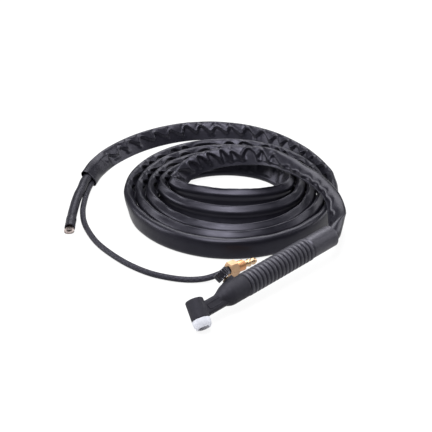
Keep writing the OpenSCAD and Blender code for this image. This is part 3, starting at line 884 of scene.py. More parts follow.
@dataclass(frozen=True)
class FoldStyle:
    """How the slack film lies along the sleeve, given at places counted in turns.

    Places below 0.5 are the lead, 0.5 to 5.1 the turns of the coil and above that the open turn.

    Attributes:
        at: Places in turns.
        hem: Mean height of the hem, from -1 to 1.
        swing: How far the hem rises and falls.
        depth: How far the film below the hem is sunk, in millimetres.
        pleat: Height of the upright pleats, in millimetres.
        pitch: Distance from fold to fold, in millimetres.
        tips: Least and greatest depth of the tips between two arches.
        arches: Least and greatest height of the arches.
        skews: Least and greatest power that draws an arch to one side.
        sinks: Least and greatest share of the depth under an arch.
        even_from: Turn from which the arches pass into an even wave.
        even_lead: How far they do so on the lead.
        calming: How much steadier pitch and swing become where the film is even or calm.
        pleat_half: Half width of a pleat, in millimetres.
    """

    at: tuple = (
        0.0, 0.05, 0.11, 0.17, 0.28, 0.36, 0.55, 0.95, 1.25, 1.45, 1.7, 4.9, 5.15, 5.45, 6.0,
    )
    hem: tuple = (
        0.0, -0.30, -0.46, -0.55, -0.50, 0.10, 0.30, 0.35, 0.50, 0.38, 0.30, 0.30, 0.38, 0.14, 0.08,
    )
    swing: tuple = (
        0.1, 0.15, 0.18, 0.22, 0.34, 0.50, 0.42, 0.30, 0.20, 0.34, 0.36, 0.36, 0.34, 0.36, 0.36,
    )
    depth: tuple = (
        0.6, 2.6, 2.8, 2.2, 2.2, 4.0, 3.8, 2.6, 1.8, 4.8, 5.3, 5.3, 5.2, 5.2, 5.0,
    )
    pleat: tuple = (
        0.0, 0.3, 0.3, 0.3, 0.6, 2.4, 2.6, 1.0, 0.3, 0.3, 0.3, 0.3, 0.5, 0.4, 0.3,
    )
    pitch: tuple = (
        28.0, 28.0, 28.0, 26.0, 24.0, 20.0, 15.0, 20.0, 26.0, 28.0, 28.0, 28.0, 24.0, 24.0, 25.0,
    )
    tips: tuple = (0.6, 1.25)
    arches: tuple = (0.55, 1.3)
    skews: tuple = (0.65, 1.5)
    sinks: tuple = (0.7, 1.3)
    even_from: float = 5.0
    even_lead: float = 0.55
    calming: float = 0.85
    pleat_half: float = 3.2

    def along(self, name: str, turn: np.ndarray) -> np.ndarray:
        """Value of one attribute at every row."""
        return np.interp(turn, self.at, getattr(self, name))


@dataclass
class CableSleeve:
    """Flattened sleeve: out of the handle, over the coil, down, 4.6 turns and an open one."""

    shop: Workshop
    style: FoldStyle = field(default_factory=FoldStyle)
    height: float = 29.0
    thick: float = 12.6
    root_d: float = 22.6
    start_back: float = 13.0
    coil_first: float = 74.0
    coil_pitch: float = 14.6
    coil_deepen: float = 4.5
    coil_dent: float = 31.5
    coil_room: float = 1.2
    coil_lean: float = 33.0
    front_turns: tuple = (0.75, 1.75, 2.75, 3.75, 4.75)
    front_lean: tuple = (-12.0, -24.0, -24.0, -16.0, -3.0)
    outer_flat: float = 0.85
    lean_in: float = 0.65
    outer_lean_in: float = 0.35
    free_lean_in: float = -0.3
    end_lean_in: float = -0.25
    cable_at: float = 4.8
    mouth_half: float = 7.3
    mouth_run: float = 46.0
    hose_at: float = -9.2
    lead_cable_at: float = 6.6
    lead_hose_at: float = -3.8
    centre_x: float = 18.0
    centre_y: float = 45.0
    rings_per_turn: int = 24
    first_ring: int = 12
    last_ring: int = 122
    step: float = 1.8
    outer_columns: int = 11
    inner_columns: int = 28
    mouth_depth: float = 26.0
    mouth_slant: float = 2.6
    mouth_power: float = 2.6
    lip: float = 0.25
    film: float = 0.7
    over_cable: float = 6.1
    over_hose: float = 4.7
    edge_thick: float = 0.4
    taut_points: int = 121
    lobe: float = 5.6
    lobe_from: float = 0.15
    least: float = 0.3
    back_shift: float = 12.5
    shift_until: float = 2.5
    dent_until: float = 2.8
    room_from: float = 1.6
    lead_down: float = 0.30
    lead_end: float = 0.48
    open_turn: float = 0.9
    per_span: int = 24
    slant: float = 6.0
    seed: int = 7
    lead: tuple = (
        (156.5, -107, 35), (160.5, -93, 36), (162, -76, 37), (161.5, -56, 38), (159, -35, 39.5),
        (154, -13, 40.5), (146, 9, 41), (134.5, 30, 41.3), (119, 52, 41.8), (102, 72, 42.3),
        (85, 91, 42.8), (64, 106, 42), (38, 116, 39.5), (9, 118.5, 36), (-19, 114, 31.6),
        (-42, 103, 25.6), (-55.5, 87, 19),
    )
    lead_lean: tuple = (0, 0, 8, 28, 52, 64, 68, 70, 70, 68, 62, 54, 46, 40, 37, 35, 33, 33, 33)
    tuck: float = 0.45
    free: tuple = (
        (129, 163), (99, 201), (64, 230), (21, 248), (-26, 251), (-72, 238), (-116, 209),
        (-152, 168), (-173, 127), (-183, 90),
    )
    free_lean: tuple = (32, 32, 32, 32, 32, 33, 34, 35, 36, 36)

    def coil_points(self) -> np.ndarray:
        """Centre points of the turns that stand on the floor, before they lean.

        Formula: at turn n the point lies side times the cosine and deep times the sine of n whole
        turns from the middle. Side grows by one pitch a turn. Deep is the reach to the back or to
        the front, and the front reach of the inner turns is drawn back. The lean is outward round
        the back and the sides and turns inward at the front.

        Returns:
            Rows of x, y, height, lean in degrees and turn.
        """
        n = np.arange(self.first_ring, self.last_ring + 1) / self.rings_per_turn
        side = self.coil_first + self.coil_pitch * n
        side = side + self.coil_room * smooth((n - self.room_from) / 0.5)
        mid = self.centre_y + self.back_shift * np.maximum(0.0, self.shift_until - n)
        reach_back = side + self.coil_deepen * (n - 1.25) + self.centre_y - mid
        dent = self.coil_dent * np.maximum(0.0, self.dent_until - n)
        reach_front = side + self.coil_deepen * (n - 1) - dent - self.centre_y + mid
        s = np.sin(n * TAU)
        deep = np.where(s > 0, reach_back, reach_front)
        early = np.interp(n, (1.5, 3.5), (0.45, 0.70))
        left = smooth((s + early) / (early + 0.17))
        back = np.where(np.cos(n * TAU) > 0, smooth((s + 0.15) / 0.6), left)
        lean = self.coil_lean * back + np.interp(n, self.front_turns, self.front_lean) * (1 - back)
        x, y = self.centre_x + side * np.cos(n * TAU), mid + deep * s
        return np.stack([x, y, 0 * n + self.height / 2, lean, n], axis=1)

    def route(self) -> tuple[np.ndarray, np.ndarray, np.ndarray, np.ndarray]:
        """Smooth centre line in the coil frame.

        Formula: a spline through the lead's, the coil's and the open turn's points. Where the
        sleeve stands on the floor its middle comes in by a share of half its height times the
        sine of the lean, and down so that its lower edge keeps to the floor.

        Returns:
            Points, outward lean in radians, place in turns, and distance from the start.
        """
        layout, half = self.shop.layout, self.height / 2
        start = [
            layout.handle_point(layout.handle_len - self.start_back),
            layout.handle_point(layout.handle_len),
        ]
        lead = np.vstack([start, np.array(self.lead, float)])
        lead = np.column_stack([lead, self.lead_lean, np.linspace(0.0, self.lead_end, len(lead))])
        free = np.column_stack([np.array(self.free, float), np.full(len(self.free), half)])
        last = self.last_ring / self.rings_per_turn
        steps = np.linspace(last, last + self.open_turn, len(free) + 1)[1:]
        free = np.column_stack([free, self.free_lean, steps])
        curve = spline(np.vstack([lead, self.coil_points(), free]), self.per_span)
        curve, run = even_steps(curve, self.step)
        path, lean, turn = curve[:, :3].copy(), np.radians(curve[:, 3]), curve[:, 4]
        side, _ = path_frames(path)
        stands = smooth((turn - self.lead_down) / 0.2)
        share = np.interp(
            turn, (0.5, 4.9, 5.3, turn[-1]),
            (self.lean_in, self.outer_lean_in, self.free_lean_in, self.end_lean_in),
        )
        path -= side * (stands * share * half * np.sin(np.maximum(lean, 0.0)))[:, None]
        path[:, 2] -= stands * half * (1 - np.cos(lean)) * 0.97
        return path, lean, turn, run

    def _taut(self, v: np.ndarray, cable_at: float, hose_at: float, bridged: bool) -> np.ndarray:
        """Half thickness of the film over the cable and the hose.

        Formula: two round bumps and a thin fin. Bridged, it is their upper hull: at every height
        the highest of all straight chords between two points of the profile, as taut film lies.

        Args:
            v: Height across the section, from -1 to 1, falling.
            cable_at: Height of the cable's middle in millimetres.
            hose_at: Height of the hose's middle in millimetres.
            bridged: Take the hull.

        Returns:
            Half thickness in millimetres.
        """
        half = self.height / 2
        fine = np.linspace(-1, 1, self.taut_points)
        cable = half_chord(self.over_cable, fine * half - cable_at)
        hose = half_chord(self.over_hose, fine * half - hose_at)
        fin = self.edge_thick + 1.1 * (1.0 - np.abs(fine))
        profile = soft_max(soft_max(cable, hose, 1.4), fin, 0.8)
        if bridged:
            a, b, x = np.meshgrid(*[np.arange(self.taut_points)] * 3, indexing="ij")
            inside = (a < x) & (x < b)
            share = (x - a) / np.maximum(b - a, 1)
            chord = np.where(inside, profile[a] * (1 - share) + profile[b] * share, 0.0)
            profile = np.maximum(profile, chord.max(axis=(0, 1)))
        return np.interp(v, fine, profile)

    def _open_form(self, v: np.ndarray) -> np.ndarray:
        """Half thickness of the open mouth: a superellipse across the section."""
        return self.mouth_half * (1 - np.abs(v) ** self.mouth_power) ** 0.5

    def _inner_face(self, run: np.ndarray, turn: np.ndarray, v: np.ndarray) -> np.ndarray:
        """Distance of the slack inner film from the middle plane, in millimetres.

        Formula: an upper lobe hangs over the cable down to a hem that runs in arches between low
        tips, one arch a fold, each with its own random height. Under the hem the film is sunk. A
        pleat runs down through every tip and fades under it, and the arch above the hem is
        hollowed a little, so that every tip stands out as a ridge. On the open turn the arches
        pass into an even wave, and half way into one on the lead.

        Args:
            run: Distance along the sleeve, one per row.
            turn: Place in turns, one per row.
            v: Height across the section, from -1 to 1.

        Returns:
            Distances of shape (rows, len(v)).
        """
        style = self.style
        random = np.random.default_rng(self.seed)
        pitch = style.along("pitch", turn)
        phase = np.concatenate([[0.0], np.cumsum(np.diff(run) / pitch[1:])])
        opened = smooth((turn - style.even_from) / 0.2)
        steady = np.maximum(opened, style.even_lead * (1 - smooth((turn - 0.5) / 0.4)))
        uneven = 0.30 * np.sin(phase * 0.9) + 0.20 * np.sin(phase * 2.3 + 1.0)
        phase += (1 - style.calming * steady) * uneven
        phase = phase[:, None] - self.slant * v[None] / pitch[:, None]
        k = np.floor(phase).astype(int)
        k -= k.min()
        f = phase - np.floor(phase)
        count = int(k.max()) + 3
        ranges = (style.tips, style.arches, style.skews, style.sinks)
        tip, arch, skew, deep = (random.uniform(*limits, count) for limits in ranges)
        low = tip[k] * (1 - f) + tip[k + 1] * f
        rise = np.sin(math.pi * f ** skew[k]) ** 0.7
        wave = 0.5 - 0.5 * np.cos(TAU * f ** skew[k])
        rise = rise + 0.8 * steady[:, None] * (wave - rise)
        standing = smooth((turn - 0.9) / 0.3) * (1 - opened)
        calm = standing * (1 - smooth((np.sin(turn * TAU) + 0.35) / 0.8))
        swing = (style.along("swing", turn) * (1 - style.calming * calm))[:, None]
        hem = style.along("hem", turn)[:, None] + swing * (-low + (low + arch[k]) * rise)
        depth = style.along("depth", turn)[:, None] * (0.8 + 0.4 * rise)
        depth = depth * (deep[k] * (1 - f) + deep[k + 1] * f)
        near = np.minimum(f, 1 - f) * pitch[:, None] / style.pleat_half
        pleat = (style.along("pleat", turn) * (1 - calm))[:, None] * np.exp(-(near**2))
        v = v[None]
        under = smooth((hem - v) / 0.15 + 0.4)
        reach = smooth((hem + 0.5 - v) / 0.5) * smooth((v - hem + 0.7) / 0.6)
        relief = 1 - 0.5 * standing[:, None]
        rim = 0.20 * relief * depth * np.exp(-(((v - hem - 0.12) / 0.13) ** 2))
        hollow = 0.3 * relief * depth * rise * np.exp(-(((v - hem - 0.32) / 0.2) ** 2))
        top = np.clip((v - self.lobe_from) / 0.86, 0.0, 1.0)
        lobe = self.lobe * np.sqrt(1 - top**2.4) * smooth((v + 1.02) / 0.55)
        film = lobe - depth * under + pleat * reach + rim - hollow
        hose = half_chord(self.over_hose, v * self.height / 2 - self.hose_at)
        film = np.maximum(film, hose * standing[:, None])
        return np.maximum(film, self.edge_thick + 0.8 * (1 - np.abs(v)))

    def _over_cables(self, turn: np.ndarray, v: np.ndarray, bridged: bool) -> np.ndarray:
        """Taut film over cable and hose, which lie otherwise in the lead than in the coil."""
        lead = (1.0 - smooth((turn - self.lead_down) / 0.25))[:, None]
        coil_form = self._taut(v, self.cable_at, self.hose_at, bridged)[None]
        lead_form = self._taut(v, self.lead_cable_at, self.lead_hose_at, bridged)[None]
        return coil_form + (lead_form - coil_form) * lead

    def _outer_face(self, run: np.ndarray, turn: np.ndarray, v: np.ndarray) -> np.ndarray:
        """Distance of the outer film from the middle plane, in millimetres.

        Formula: taut film with a groove between cable and hose, and on the outermost front turn a
        superellipse of powers 5 and 3, which is nearly flat.

        Args:
            run: Distance along the sleeve, one per row.
            turn: Place in turns, one per row.
            v: Height across the section, from -1 to 1.

        Returns:
            Distances of shape (rows, len(v)).
        """
        groove = np.interp(turn, (0.3, 0.8, 2.2, 5.0), (0.25, 0.85, 0.60, 0.15))[:, None]
        bridged, grooved = (self._over_cables(turn, v, way) for way in (True, False))
        outer = bridged * (1 - groove) + grooved * groove
        flat = self.thick / 2 * np.cbrt(np.maximum(0.0, 1 - np.abs(v) ** 5))
        last_turn = smooth((turn - 4.2) / 0.2) * (1 - smooth((turn - 4.95) / 0.15))
        outer = outer + self.outer_flat * last_turn[:, None] * (flat - outer)
        return outer * (1 + 0.02 * np.sin(run / 31.0)[:, None])

    def section_grid(self) -> tuple[np.ndarray, np.ndarray, np.ndarray]:
        """All points of the outside of the sleeve.

        Formula: the outer and the inner face, opened at the mouth and round at the grip. The lead
        is tucked in below, and the turns of the coil are widened where they lean little.

        Returns:
            Grid (rows, columns, 3), the centre line, and the distance along it.
        """
        path, lean, turn, run = self.route()
        to_end = run - run[-1]
        v_out = np.cos(np.linspace(0.0, math.pi, self.outer_columns))
        v_in = -np.cos(np.linspace(0.0, math.pi, self.inner_columns + 2))[1:-1]
        plain = self._over_cables(turn, v_in, True)
        slack = smooth((turn - 0.03) / 0.08) * (1.0 - smooth((to_end + 82.0) / 36.0))
        inner = plain + (self._inner_face(run, turn, v_in) - plain) * slack[:, None]
        inner = np.clip(inner, self.least, self.thick / 2)
        opened = smooth((to_end + self.mouth_run) / self.mouth_run)[:, None]
        root = smooth((run - 14.0) / 40.0)[:, None]
        round_r = self.root_d / 2 - 1.0
        faces = []
        for face, v in ((self._outer_face(run, turn, v_out), v_out), (inner, v_in)):
            face = face + opened * np.maximum(self._open_form(v) - face, 0.0)
            faces.append(face * root + (1 - root) * (round_r * half_chord(1.0, v) + 0.2))
        across = np.concatenate([faces[0], -faces[1]], axis=1)
        edge = np.concatenate([v_out, v_in])[None]
        high = edge * (round_r + (self.height / 2 - round_r) * root)
        tucked = self.tuck * np.interp(turn, (0.10, 0.17, 0.28, 0.36), (0.0, 1.0, 1.0, 0.0))
        high = np.where(high < 0, high * (1 - tucked[:, None]), high)
        by_lean = (-15.0, 10.0, 25.0, self.coil_lean), (0.28, 0.22, 0.10, 0.0)
        room = np.interp(turn, (0.4, 0.6, 5.0, 5.2), (0.0, 1.0, 1.0, 0.0))
        room *= np.interp(np.degrees(lean), *by_lean)
        across = across * (1 + room[:, None])
        flutter = 0.7 * np.sin(run / 9.0 + 1.4 * np.sin(run / 37.0)) * slack
        across = across + flutter[:, None] * np.clip(edge - 0.7, 0, 1) / 0.3
        c, s = np.cos(lean)[:, None], np.sin(lean)[:, None]
        across, high = across * c + high * s, high * c - across * s
        side, up = path_frames(path)
        grid = path[:, None] + side[:, None] * across[..., None] + up[:, None] * high[..., None]
        grid[..., 2] = np.maximum(grid[..., 2], 0.0)
        return grid, path, run

    def build(self, inner: list[Piece]) -> Piece:
        """Args:
            inner: The cable and the hose that come out of it into the grip; not used.

        Returns:
            The sleeve.
        """
        layout = self.shop.layout
        grid, path, run = self.section_grid()
        along = unit_rows(path[-1] - path[-3])
        centre = path[-1]
        high = (grid[-1, :, 2] - centre[2]) / (self.height / 2)
        rows = int(self.mouth_depth / self.step)
        ease = np.linspace(0.0, 1.0, rows + 1)[:, None] ** 2
        slant = self.mouth_slant * (high - 0.2)
        grid[-rows - 1:] += along * (ease * slant[None])[..., None]
        middle = path[-rows - 1:, None]
        inward = grid[-rows - 1:] - middle
        reach = np.linalg.norm(inward, axis=-1, keepdims=True)
        kept = np.maximum(reach - self.film, self.least) / np.maximum(reach, 1e-6)
        inside = middle + inward * kept
        lip = (grid[-1:] + inside[-1:]) / 2 + along * self.lip
        grid = np.vstack([grid, lip, inside[::-1]])
        tail = run[-1] + np.arange(1, rows + 3) * self.step
        surface = Surface(grid, layout.coil(), caps=True, row_run=np.concatenate([run, tail]))
        piece = surface.build("cable_sleeve_film")
        self.shop.settle(piece, Slot.SLEEVE, Body.TORCH, "cable_sleeve")
        centre_line = carried(path, layout.coil())
        tuple(carried(layout.handle_point(layout.handle_len)[None], layout.coil())[0])
        self.end = path[-1]
        self.end_dir = along
        self.end_side = unit_rows(np.cross(along, [0.0, 0.0, 1.0]))
        return piece


# ---------------------------------------------------------------- tails of the cable set


@dataclass
class CableTails:
    """Power cable and gas hose between the sleeve's cut end and their fittings."""

    shop: Workshop
    sleeve: CableSleeve
    ends: "CableEnds"
    power_d: float = 13.2
    hose_d: float = 8.0
    power_up: float = 2.0
    power_side: float = 1.6
    hose_down: float = 6.6
    hose_side: float = 4.6
    hose_stop: float = 3.0
    hose_straight: float = 14.0
    hidden: float = 22.0
    step: float = 2.0
    sides: int = 28
    power: tuple = (
        (-192.4, 58, 13.0), (-195.6, 44, 11.0), (-198, 29, 8.6), (-199.4, 13, 6.9),
        (-200.2, -2, 6.3), (-200.4, -14, 6.3),
    )
    hose: tuple = (
        (-185.4, 55, 6.0), (-187, 32, 4.5), (-186.9, 8, 4.1), (-183, -22, 4.1), (-174, -52, 4.1),
        (-160, -83, 4.1), (-140, -112, 4.1), (-115, -140, 4.1), (-87, -162, 4.1), (-60, -174, 4.1),
        (-36, -179, 4.1), (-16, -178.5, 5.2), (-1, -174.5, 7.6),
    )

    def _way_out(self, exit_at: np.ndarray, diameter: float) -> np.ndarray:
        """Three points in line with the sleeve's end: in the mouth, at the exit, outside it."""
        along = self.sleeve.end_dir
        return exit_at + np.array([[-self.hidden], [0.0], [diameter]]) * along

    def _tail(
        self, points: np.ndarray, diameter: float, name: str, slot: Slot, node: str
    ) -> tuple[Piece, np.ndarray, float]:
        """Round tube on a smooth line through points, standing for its CAD tube.

        Args:
            points: Points of the route in the coil frame.
            diameter: Diameter of the tube.
            name: Name of the piece.
            slot: Its material slot.
            node: The CAD node that it replaces.

        Returns:
            The piece, its centre line in the row frame in metres, and its length in metres.
        """
        coil = self.shop.layout.coil()
        curve, run = even_steps(spline(points, 16), self.step)
        piece = swept(curve, run, diameter / 2, self.sides, coil).rested().build(name)
        self.shop.settle(piece, slot, Body.TORCH, node)
        return piece, carried(curve, coil), round(float(run[-1]) * MM, 3)

    def build(self) -> None:
        layout = self.shop.layout
        end, beside = self.sleeve.end, self.sleeve.end_side
        power_out = end + np.array([0, 0, self.power_up]) + self.power_side * beside
        hose_out = end - np.array([0, 0, self.hose_down]) - self.hose_side * beside
        power = np.vstack([self._way_out(power_out, self.power_d), self.power, layout.lug_at])
        piece, line, length = self._tail(
            power, self.power_d, "power_cable", Slot.CABLE, "power_cable_tail"
        )
        tuple(carried(power_out[None], layout.coil())[0])
        turn = math.radians(layout.fitting_turn)
        way = np.array([math.cos(turn), math.sin(turn), 0.0])
        stop = np.array(layout.fitting_at) + self.hose_stop * way
        last = stop - self.hose_straight * way
        hose = np.vstack([self._way_out(hose_out, self.hose_d), self.hose, last, stop])
        piece, line, length = self._tail(hose, self.hose_d, "gas_hose", Slot.HOSE, "gas_hose_tail")
        tuple(carried(hose_out[None], layout.coil())[0])


# ---------------------------------------------------------------- cable ends


@dataclass
class CableEnds:
    """Lug under its shrink tube, and the hose's nut, round fitting and plug nipple."""

    shop: Workshop
    shrink_d: float = 14.6
    shrink_len: float = 30.0
    shrink_mouth: float = 5.6
    barrel_r: float = 4.95
    nut_len: float = 11.5
    union_len: float = 12.5
    nipple_r: float = 4.2
    nipple_neck: float = 5.6
    ring_r: float = 5.3
    stem_r: float = 1.8
    stem_sunk: float = 6.0
    sides: int = 72
    lug_pieces: list = field(default_factory=list)
    fitting_pieces: list = field(default_factory=list)

    def build_lug(self) -> None:
        """Builds the lug and the shrink tube, which is drawn in over the crimp."""
        shop, layout = self.shop, self.shop.layout
        metal = shop.softened("cable_lug", "lug_metal", 0.35, Slot.TINNED)
        r, end = self.shrink_d / 2, self.shrink_len
        outline = [
            (self.barrel_r, 0.4, 0.1), (r - 0.55, 0.0, 0.5), (r - 0.25, 2.5, 1.2), (r, 6.0, 2.0),
            (r, 12.0, 2.0), (r - 0.35, 16.0, 2.0), (r - 0.1, 20.0, 2.0), (r, end - 0.2, 0.4),
            (self.shrink_mouth, end, 0.2), (self.shrink_mouth, 18.6, 0.4),
            (self.barrel_r, 18.2, 0.2),
        ]
        tube = turned(rounded(outline, 7), self.sides, layout.lug()).rested().build("lug_sleeve")
        shop.settle(tube, Slot.SHRINK, Body.TORCH, "lug_shrink_tube")
        self.lug_pieces = [metal, tube]

    def build_fitting(self) -> None:
        """Builds the nut, the round fitting, the nipple and the small pieces between them."""
        shop, layout = self.shop, self.shop.layout
        nut = shop.softened("hose_nut", "swivel_nut", 0.45, Slot.NUT, Body.NUT)
        barrel = shop.softened("fitting_body", "fitting_barrel", 0.3, Slot.FITTING)
        base, neck, ring = self.nut_len + self.union_len, self.nipple_neck, self.ring_r
        stem, low, r = self.stem_r, -self.stem_sunk, self.nipple_r
        outline = [
            (stem, low, 0), (r - 0.7, low, 0), (r - 0.7, 0, 0), (r, 0, 0.1), (r, neck, 0.5),
            (ring - 0.9, neck + 0.4, 0.25), (ring, neck + 1.6, 0.7), (ring, neck + 3.4, 0.7),
            (ring - 0.9, neck + 4.6, 0.4), (ring - 1.9, neck + 5.2, 0.3),
            (ring - 1.9, neck + 7, 0.5), (ring - 0.7, neck + 8, 0.6), (ring - 0.7, neck + 11, 0.8),
            (ring - 1.6, neck + 12.6, 0.6), (ring - 2.2, neck + 14.4, 0.3),
            (stem, neck + 14.4, 0.2),
        ]
        profile = rounded(outline, 5) + [0.0, base]
        nipple = turned(profile, self.sides, layout.fitting()).build("fitting_nipple")
        shop.settle(nipple, Slot.BRASS, Body.TORCH, "plug_nipple")
        tail = shop.softened("hose_tailpiece", "hose_tail_metal", 0.2, Slot.BRASS)
        seal = shop.softened("fitting_seal", "fitting_gasket", 0.1, Slot.SEAL)
        self.fitting_pieces = [nut, barrel, nipple, tail, seal]

    def build(self) -> None:
        """Builds both ends."""
        self.build_lug()
        self.build_fitting()


# ---------------------------------------------------------------- torch


@dataclass
class TorchHead:
    """Rubber body, white gasket and the screw threads in the head core."""

    shop: Workshop
    voxel: float = 0.55
    smoothing: int = 7
    head_r: float = 11.7
    thread_r: float = 4.75
    thread_depth: float = 0.6
    thread_pitch: float = 1.25
    thread_len: float = 9.0
    thread_sunk: float = 0.12
    thread_margin: float = 0.8
    core_top: float = 13.0
    gasket_top: float = 10.8
    gasket_len: float = 11.0
    gasket_end_r: float = 9.8
    gasket_wall: float = 2.6
    cup_depth: float = 3.6
    nose_r: float = 6.5
    nose_len: float = 4.4
    neck_half: float = 7.5
    neck_drop: float = 1.8
    panel_from: float = -66.5
    panel_len: float = 21.0
    panel_h: float = 7.6
    panel_ridge: float = 0.75
    panel_sunk: float = 0.1
    panel_power: int = 6
    panel_points: int = 160
    panel_sides: int = 10
    gasket_sides: int = 128
    thread_steps: int = 48

    def body(self) -> Piece:
        """Rubber body: the CAD shape remade in even small faces, then eased at every edge."""
        piece = own_copy("body_moulding", "torch_body")
        shape = piece.modifiers.new("even", "REMESH")
        shape.mode = "VOXEL"
        shape.voxel_size = self.voxel * MM
        ease = piece.modifiers.new("ease", "SMOOTH")
        ease.factor = 0.5
        ease.iterations = self.smoothing
        graph = bpy.context.evaluated_depsgraph_get()
        made = bpy.data.meshes.new_from_object(piece.evaluated_get(graph))
        piece.modifiers.clear()
        piece.data = made
        made.name = "torch_body"
        made.polygons.foreach_set("use_smooth", np.ones(len(made.polygons), bool))
        return self.shop.settle(piece, Slot.RUBBER, Body.TORCH, "body_moulding")

    def panel_outline(self, flank: int) -> Piece:
        """Thin raised oblong outline on a flank of the neck.

        Formula: the centre line is a superellipse with the panel's half length and half height; a
        small round section follows it, half sunk in the flank.

        Args:
            flank: 1 or -1, the side of the neck.

        Returns:
            The ridge.
        """
        angle, power = angles(self.panel_points), self.panel_power
        c, s = np.cos(angle), np.sin(angle)
        scale = (np.abs(c) ** power + np.abs(s) ** power) ** (-1 / power)
        x = self.panel_len / 2 * c * scale
        z = self.panel_h / 2 * s * scale
        centre = np.stack([x, 0 * x, z], axis=1)
        along = unit_rows(np.roll(centre, -1, axis=0) - np.roll(centre, 1, axis=0))
        out = np.array([0.0, float(flank), 0.0])
        across = np.cross(along, out)
        ring = angles(self.panel_sides)[:, None]
        section = across[:, None] * np.cos(ring) + out * np.sin(ring)
        grid = centre[:, None] + section * self.panel_ridge
        grid[..., 1] += flank * (self.neck_half - self.panel_sunk)
        grid[..., 0] += self.panel_from + self.panel_len / 2
        grid[..., 2] -= self.neck_drop
        name = "neck_outline_left" if flank > 0 else "neck_outline_right"
        piece = Surface(grid, self.shop.layout.torch(), wrap_rows=True).build(name)
        return self.shop.settle(piece, Slot.RUBBER, Body.TORCH)

    def gasket(self) -> Piece:
        """White gasket with eased edges and an open cup."""
        root, end, top = self.head_r - 0.1, self.gasket_end_r, self.gasket_top
        mid = root + (end - root) * 0.35
        cup, bore = end - self.gasket_wall, self.nose_r + 0.05
        length, floor = self.gasket_len, self.gasket_len - self.cup_depth
        outline = [
            (bore, 0, 0), (root, 0, 0.5), (root, length * 0.45, 1.2),
            (mid, length * 0.75, 1.0), (end, length - 0.4, 0.25), (end - 0.4, length, 0.2),
            (cup + 0.3, length, 0.25), (cup, length - 0.5, 0.2), (cup, floor, 0.4),
            (bore, floor, 0.0),
        ]
        profile = rounded(outline, 7) + [0.0, top]
        piece = turned(profile, self.gasket_sides, self.shop.layout.head()).build("gasket_ring")
        return self.shop.settle(piece, Slot.PTFE, Body.TORCH, "cup_gasket")

    def thread(self, name: str, start: float) -> Piece:
        """Screw thread ridge on the wall of a bore.

        Formula: a triangle of radius and height points is turned about the head axis while it
        climbs one pitch a turn.

        Args:
            name: Name of the piece.
            start: Place of the first turn along the head axis.

        Returns:
            The ridge.
        """
        turns = (self.thread_len - 2 * self.thread_margin) / self.thread_pitch
        t = np.linspace(0.0, turns, int(turns * self.thread_steps))
        foot, crest = self.thread_sunk, -self.thread_depth
        ridge = np.array([foot, crest, crest, foot])
        wall = self.thread_r + foot
        fade = smooth(np.minimum(t, turns - t) / 0.25)[:, None]
        radius = wall + (ridge[None] + self.thread_r - wall) * fade
        z = start + self.thread_margin + self.thread_pitch * t[:, None]
        grid = revolved(radius, z + np.array([-0.55, -0.08, 0.08, 0.55]), t[:, None] * TAU)
        piece = Surface(grid, self.shop.layout.head(), caps=True).build(name)
        return self.shop.settle(piece, Slot.COPPER_ALLOY, Body.TORCH)

    def build(self) -> None:
        """Builds the head's pieces."""
        self.body()
        self.panel_outline(1)
        self.panel_outline(-1)
        self.gasket()
        self.thread("thread_rear", -self.core_top)
        self.thread("thread_front", self.gasket_top + self.nose_len - self.thread_len)


